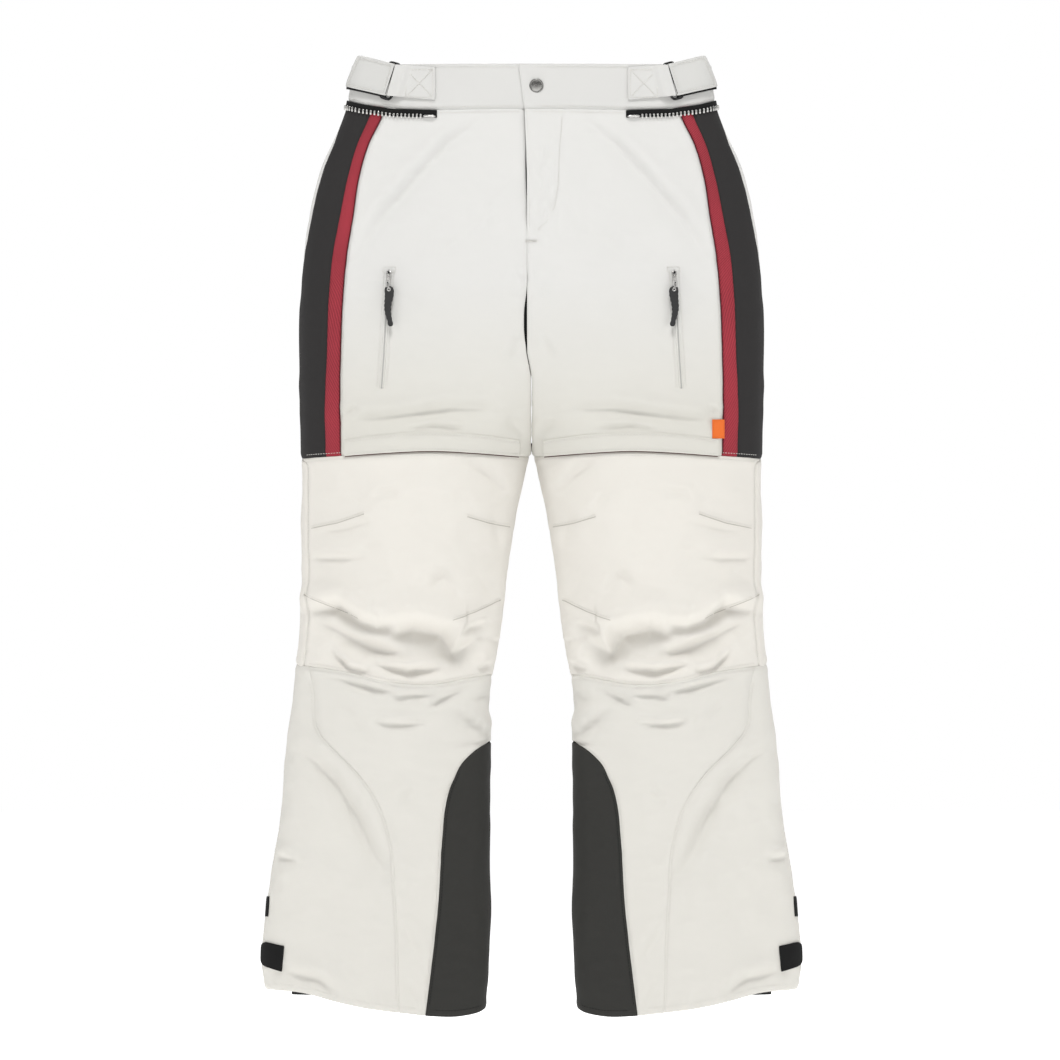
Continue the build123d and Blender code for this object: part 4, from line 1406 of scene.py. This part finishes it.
# Dark strip behind the crotch gap, which shows through the gap as a black line.
crotch_gap_strip = flat_strip("crotch_gap_dark_strip", -20, 8, -236, -335, -4.5, 1.0, WEBBING)
stand(crotch_gap_strip, "garment", "black_webbing")
snap_base, snap_out = surface(LEFT, "front", *SNAP, 0.0, folds=False)
dome = [(7.2, -0.3), (7.9, 0.1), (8.0, 0.9), (7.6, 1.4), (6.9, 1.35), (6.4, 1.0), (5.8, 1.15), (4.8, 1.55),
        (3.2, 1.95), (1.6, 2.1), (0.2, 2.15)]
snap_cap = lathe("snap_cap", dome, snap_base, snap_out, SNAP_METAL, 56)
stand(snap_cap, "fly_lapel", "snap_metal", "snap_cap")
stud = lathe("snap_stud", [(4.6, -1.3), (5.0, -0.8), (4.8, 0.2), (3.0, 0.5), (2.2, 1.2), (0.2, 1.4)],
             snap_base + np.array([0, 5.4, 0]), (0, -1, 0), STEEL, 32)
stand(stud, "garment", "snap_metal", "snap_stud")

z = np.linspace(-52, -180, 90)
fly_lines = [surface(LEFT, "front", fly_edge(z) + 2.8, z, 1.9)[0]]
J_STITCH = [(34, -60), (31, -100), (29.5, -136), (26, -158), (17, -176), (5, -186)]
fly_lines.append(on_cloth(LEFT, "front", J_STITCH, 0.6, 90))
top_lines = [band_stitch(LEFT, *row) for row in LAPEL_ROWS]
z = np.linspace(-3.2, -45, 30)
top_lines.append(surface(LEFT, "front", band_edge(z) + 3.2, z, 0.3)[0])
fold_blend(stitch_mesh("fly_stitches", fly_lines + top_lines, THREAD), "ivory_shell")
sew("front_right_stitches", [band_stitch(RIGHT, *row) for row in RIGHT_ROWS])
tack = [on_cloth(LEFT, "front", [(-7, z), (7, z)], 0.7, 20) for z in (-196.6, -197.4, -198.2)]
sew("fly_bar_tack", tack, length=2.0, gap=0.3)


# ---------------------------------------------------------------- studio

FLOOR_Z = -1.2
FLOOR_RADIUS = 14.0
SKY = [(0.0, 0.30), (0.46, 1.0), (0.535, 1.0), (0.60, 0.30), (1.0, 0.35)]     # height, brightness
floor_look = Look("pale_floor", (0.93, 0.93, 0.93), 0.9)
speck = floor_look.texture("ShaderNodeTexNoise", floor_look.place, Scale=4.0, Detail=2.0)
floor_look.grey_ramp(speck, [(0.3, 0.92), (0.7, 0.94)], "Base Color")
floor_look.shader.inputs["Emission Color"].default_value = (1, 1, 1, 1)
floor_look.shader.inputs["Emission Strength"].default_value = 0.7
rim = np.linspace(0, 2 * math.pi, 96, endpoint=False)
floor_points = np.stack([FLOOR_RADIUS * np.cos(rim), FLOOR_RADIUS * np.sin(rim), np.full(96, FLOOR_Z)], -1)
floor = new_mesh("floor", floor_points / MM, [tuple(range(96))], floor_look.mat, smooth=False)

world = bpy.data.worlds.new("studio")
bpy.context.scene.world = world
world.use_nodes = True
nodes, links = world.node_tree.nodes, world.node_tree.links
background = nodes["Background"]
split = nodes.new("ShaderNodeSeparateXYZ")
links.new(nodes.new("ShaderNodeTexCoord").outputs["Generated"], split.inputs[0])
rise = nodes.new("ShaderNodeMath")
rise.operation = "MULTIPLY_ADD"
links.new(split.outputs["Z"], rise.inputs[0])
rise.inputs[1].default_value = 0.5
rise.inputs[2].default_value = 0.5
sky = ramp(nodes, links, rise.outputs["Value"], [(height, (value,) * 3) for height, value in SKY])
links.new(sky, background.inputs["Color"])
background.inputs["Strength"].default_value = 1.0


def area_light(name, place_at, target, size, power):
    """Round soft light at a place, turned to a target."""
    light = bpy.data.lights.new(name, "AREA")
    light.shape = "DISK"
    light.size = size
    light.energy = power
    obj = bpy.data.objects.new(name, light)
    bpy.context.scene.collection.objects.link(obj)
    obj.location = place_at
    from_target = np.array(place_at) - np.array(target)
    obj.rotation_mode = "XYZ"
    flat = math.hypot(from_target[0], from_target[1])
    obj.rotation_euler = (math.atan2(flat, from_target[2]), 0, math.atan2(from_target[0], -from_target[1]))
    return obj


AIM = (0.0, 0.0, -0.52)
area_light("top_front", (0.0, -2.6, 4.4), AIM, 1.5, 184)
area_light("top_back", (0.0, 3.0, 3.6), AIM, 1.5, 140)
for key_side in (-1, 1):
    area_light(f"side_{key_side}", (2.8 * key_side, -1.6, 1.4), AIM, 0.9, 10)

CAMERA_DISTANCE = 12.0
CAMERA_X, CAMERA_Z = -0.0017, -0.5188
LENS_PER_METRE = 30.39      # mm of lens per metre of distance, which sets how much is seen
camera = bpy.data.cameras.new("camera")
camera.lens = LENS_PER_METRE * CAMERA_DISTANCE
camera.sensor_width = 36
camera.clip_end = 80
camera_obj = bpy.data.objects.new("camera", camera)
bpy.context.scene.collection.objects.link(camera_obj)
camera_obj.location = (CAMERA_X, -CAMERA_DISTANCE, CAMERA_Z)
camera_obj.rotation_euler = (math.pi / 2, 0, 0)
bpy.context.scene.camera = camera_obj
bpy.context.scene.view_settings.view_transform = "Standard"
bpy.context.scene.view_settings.look = "None"
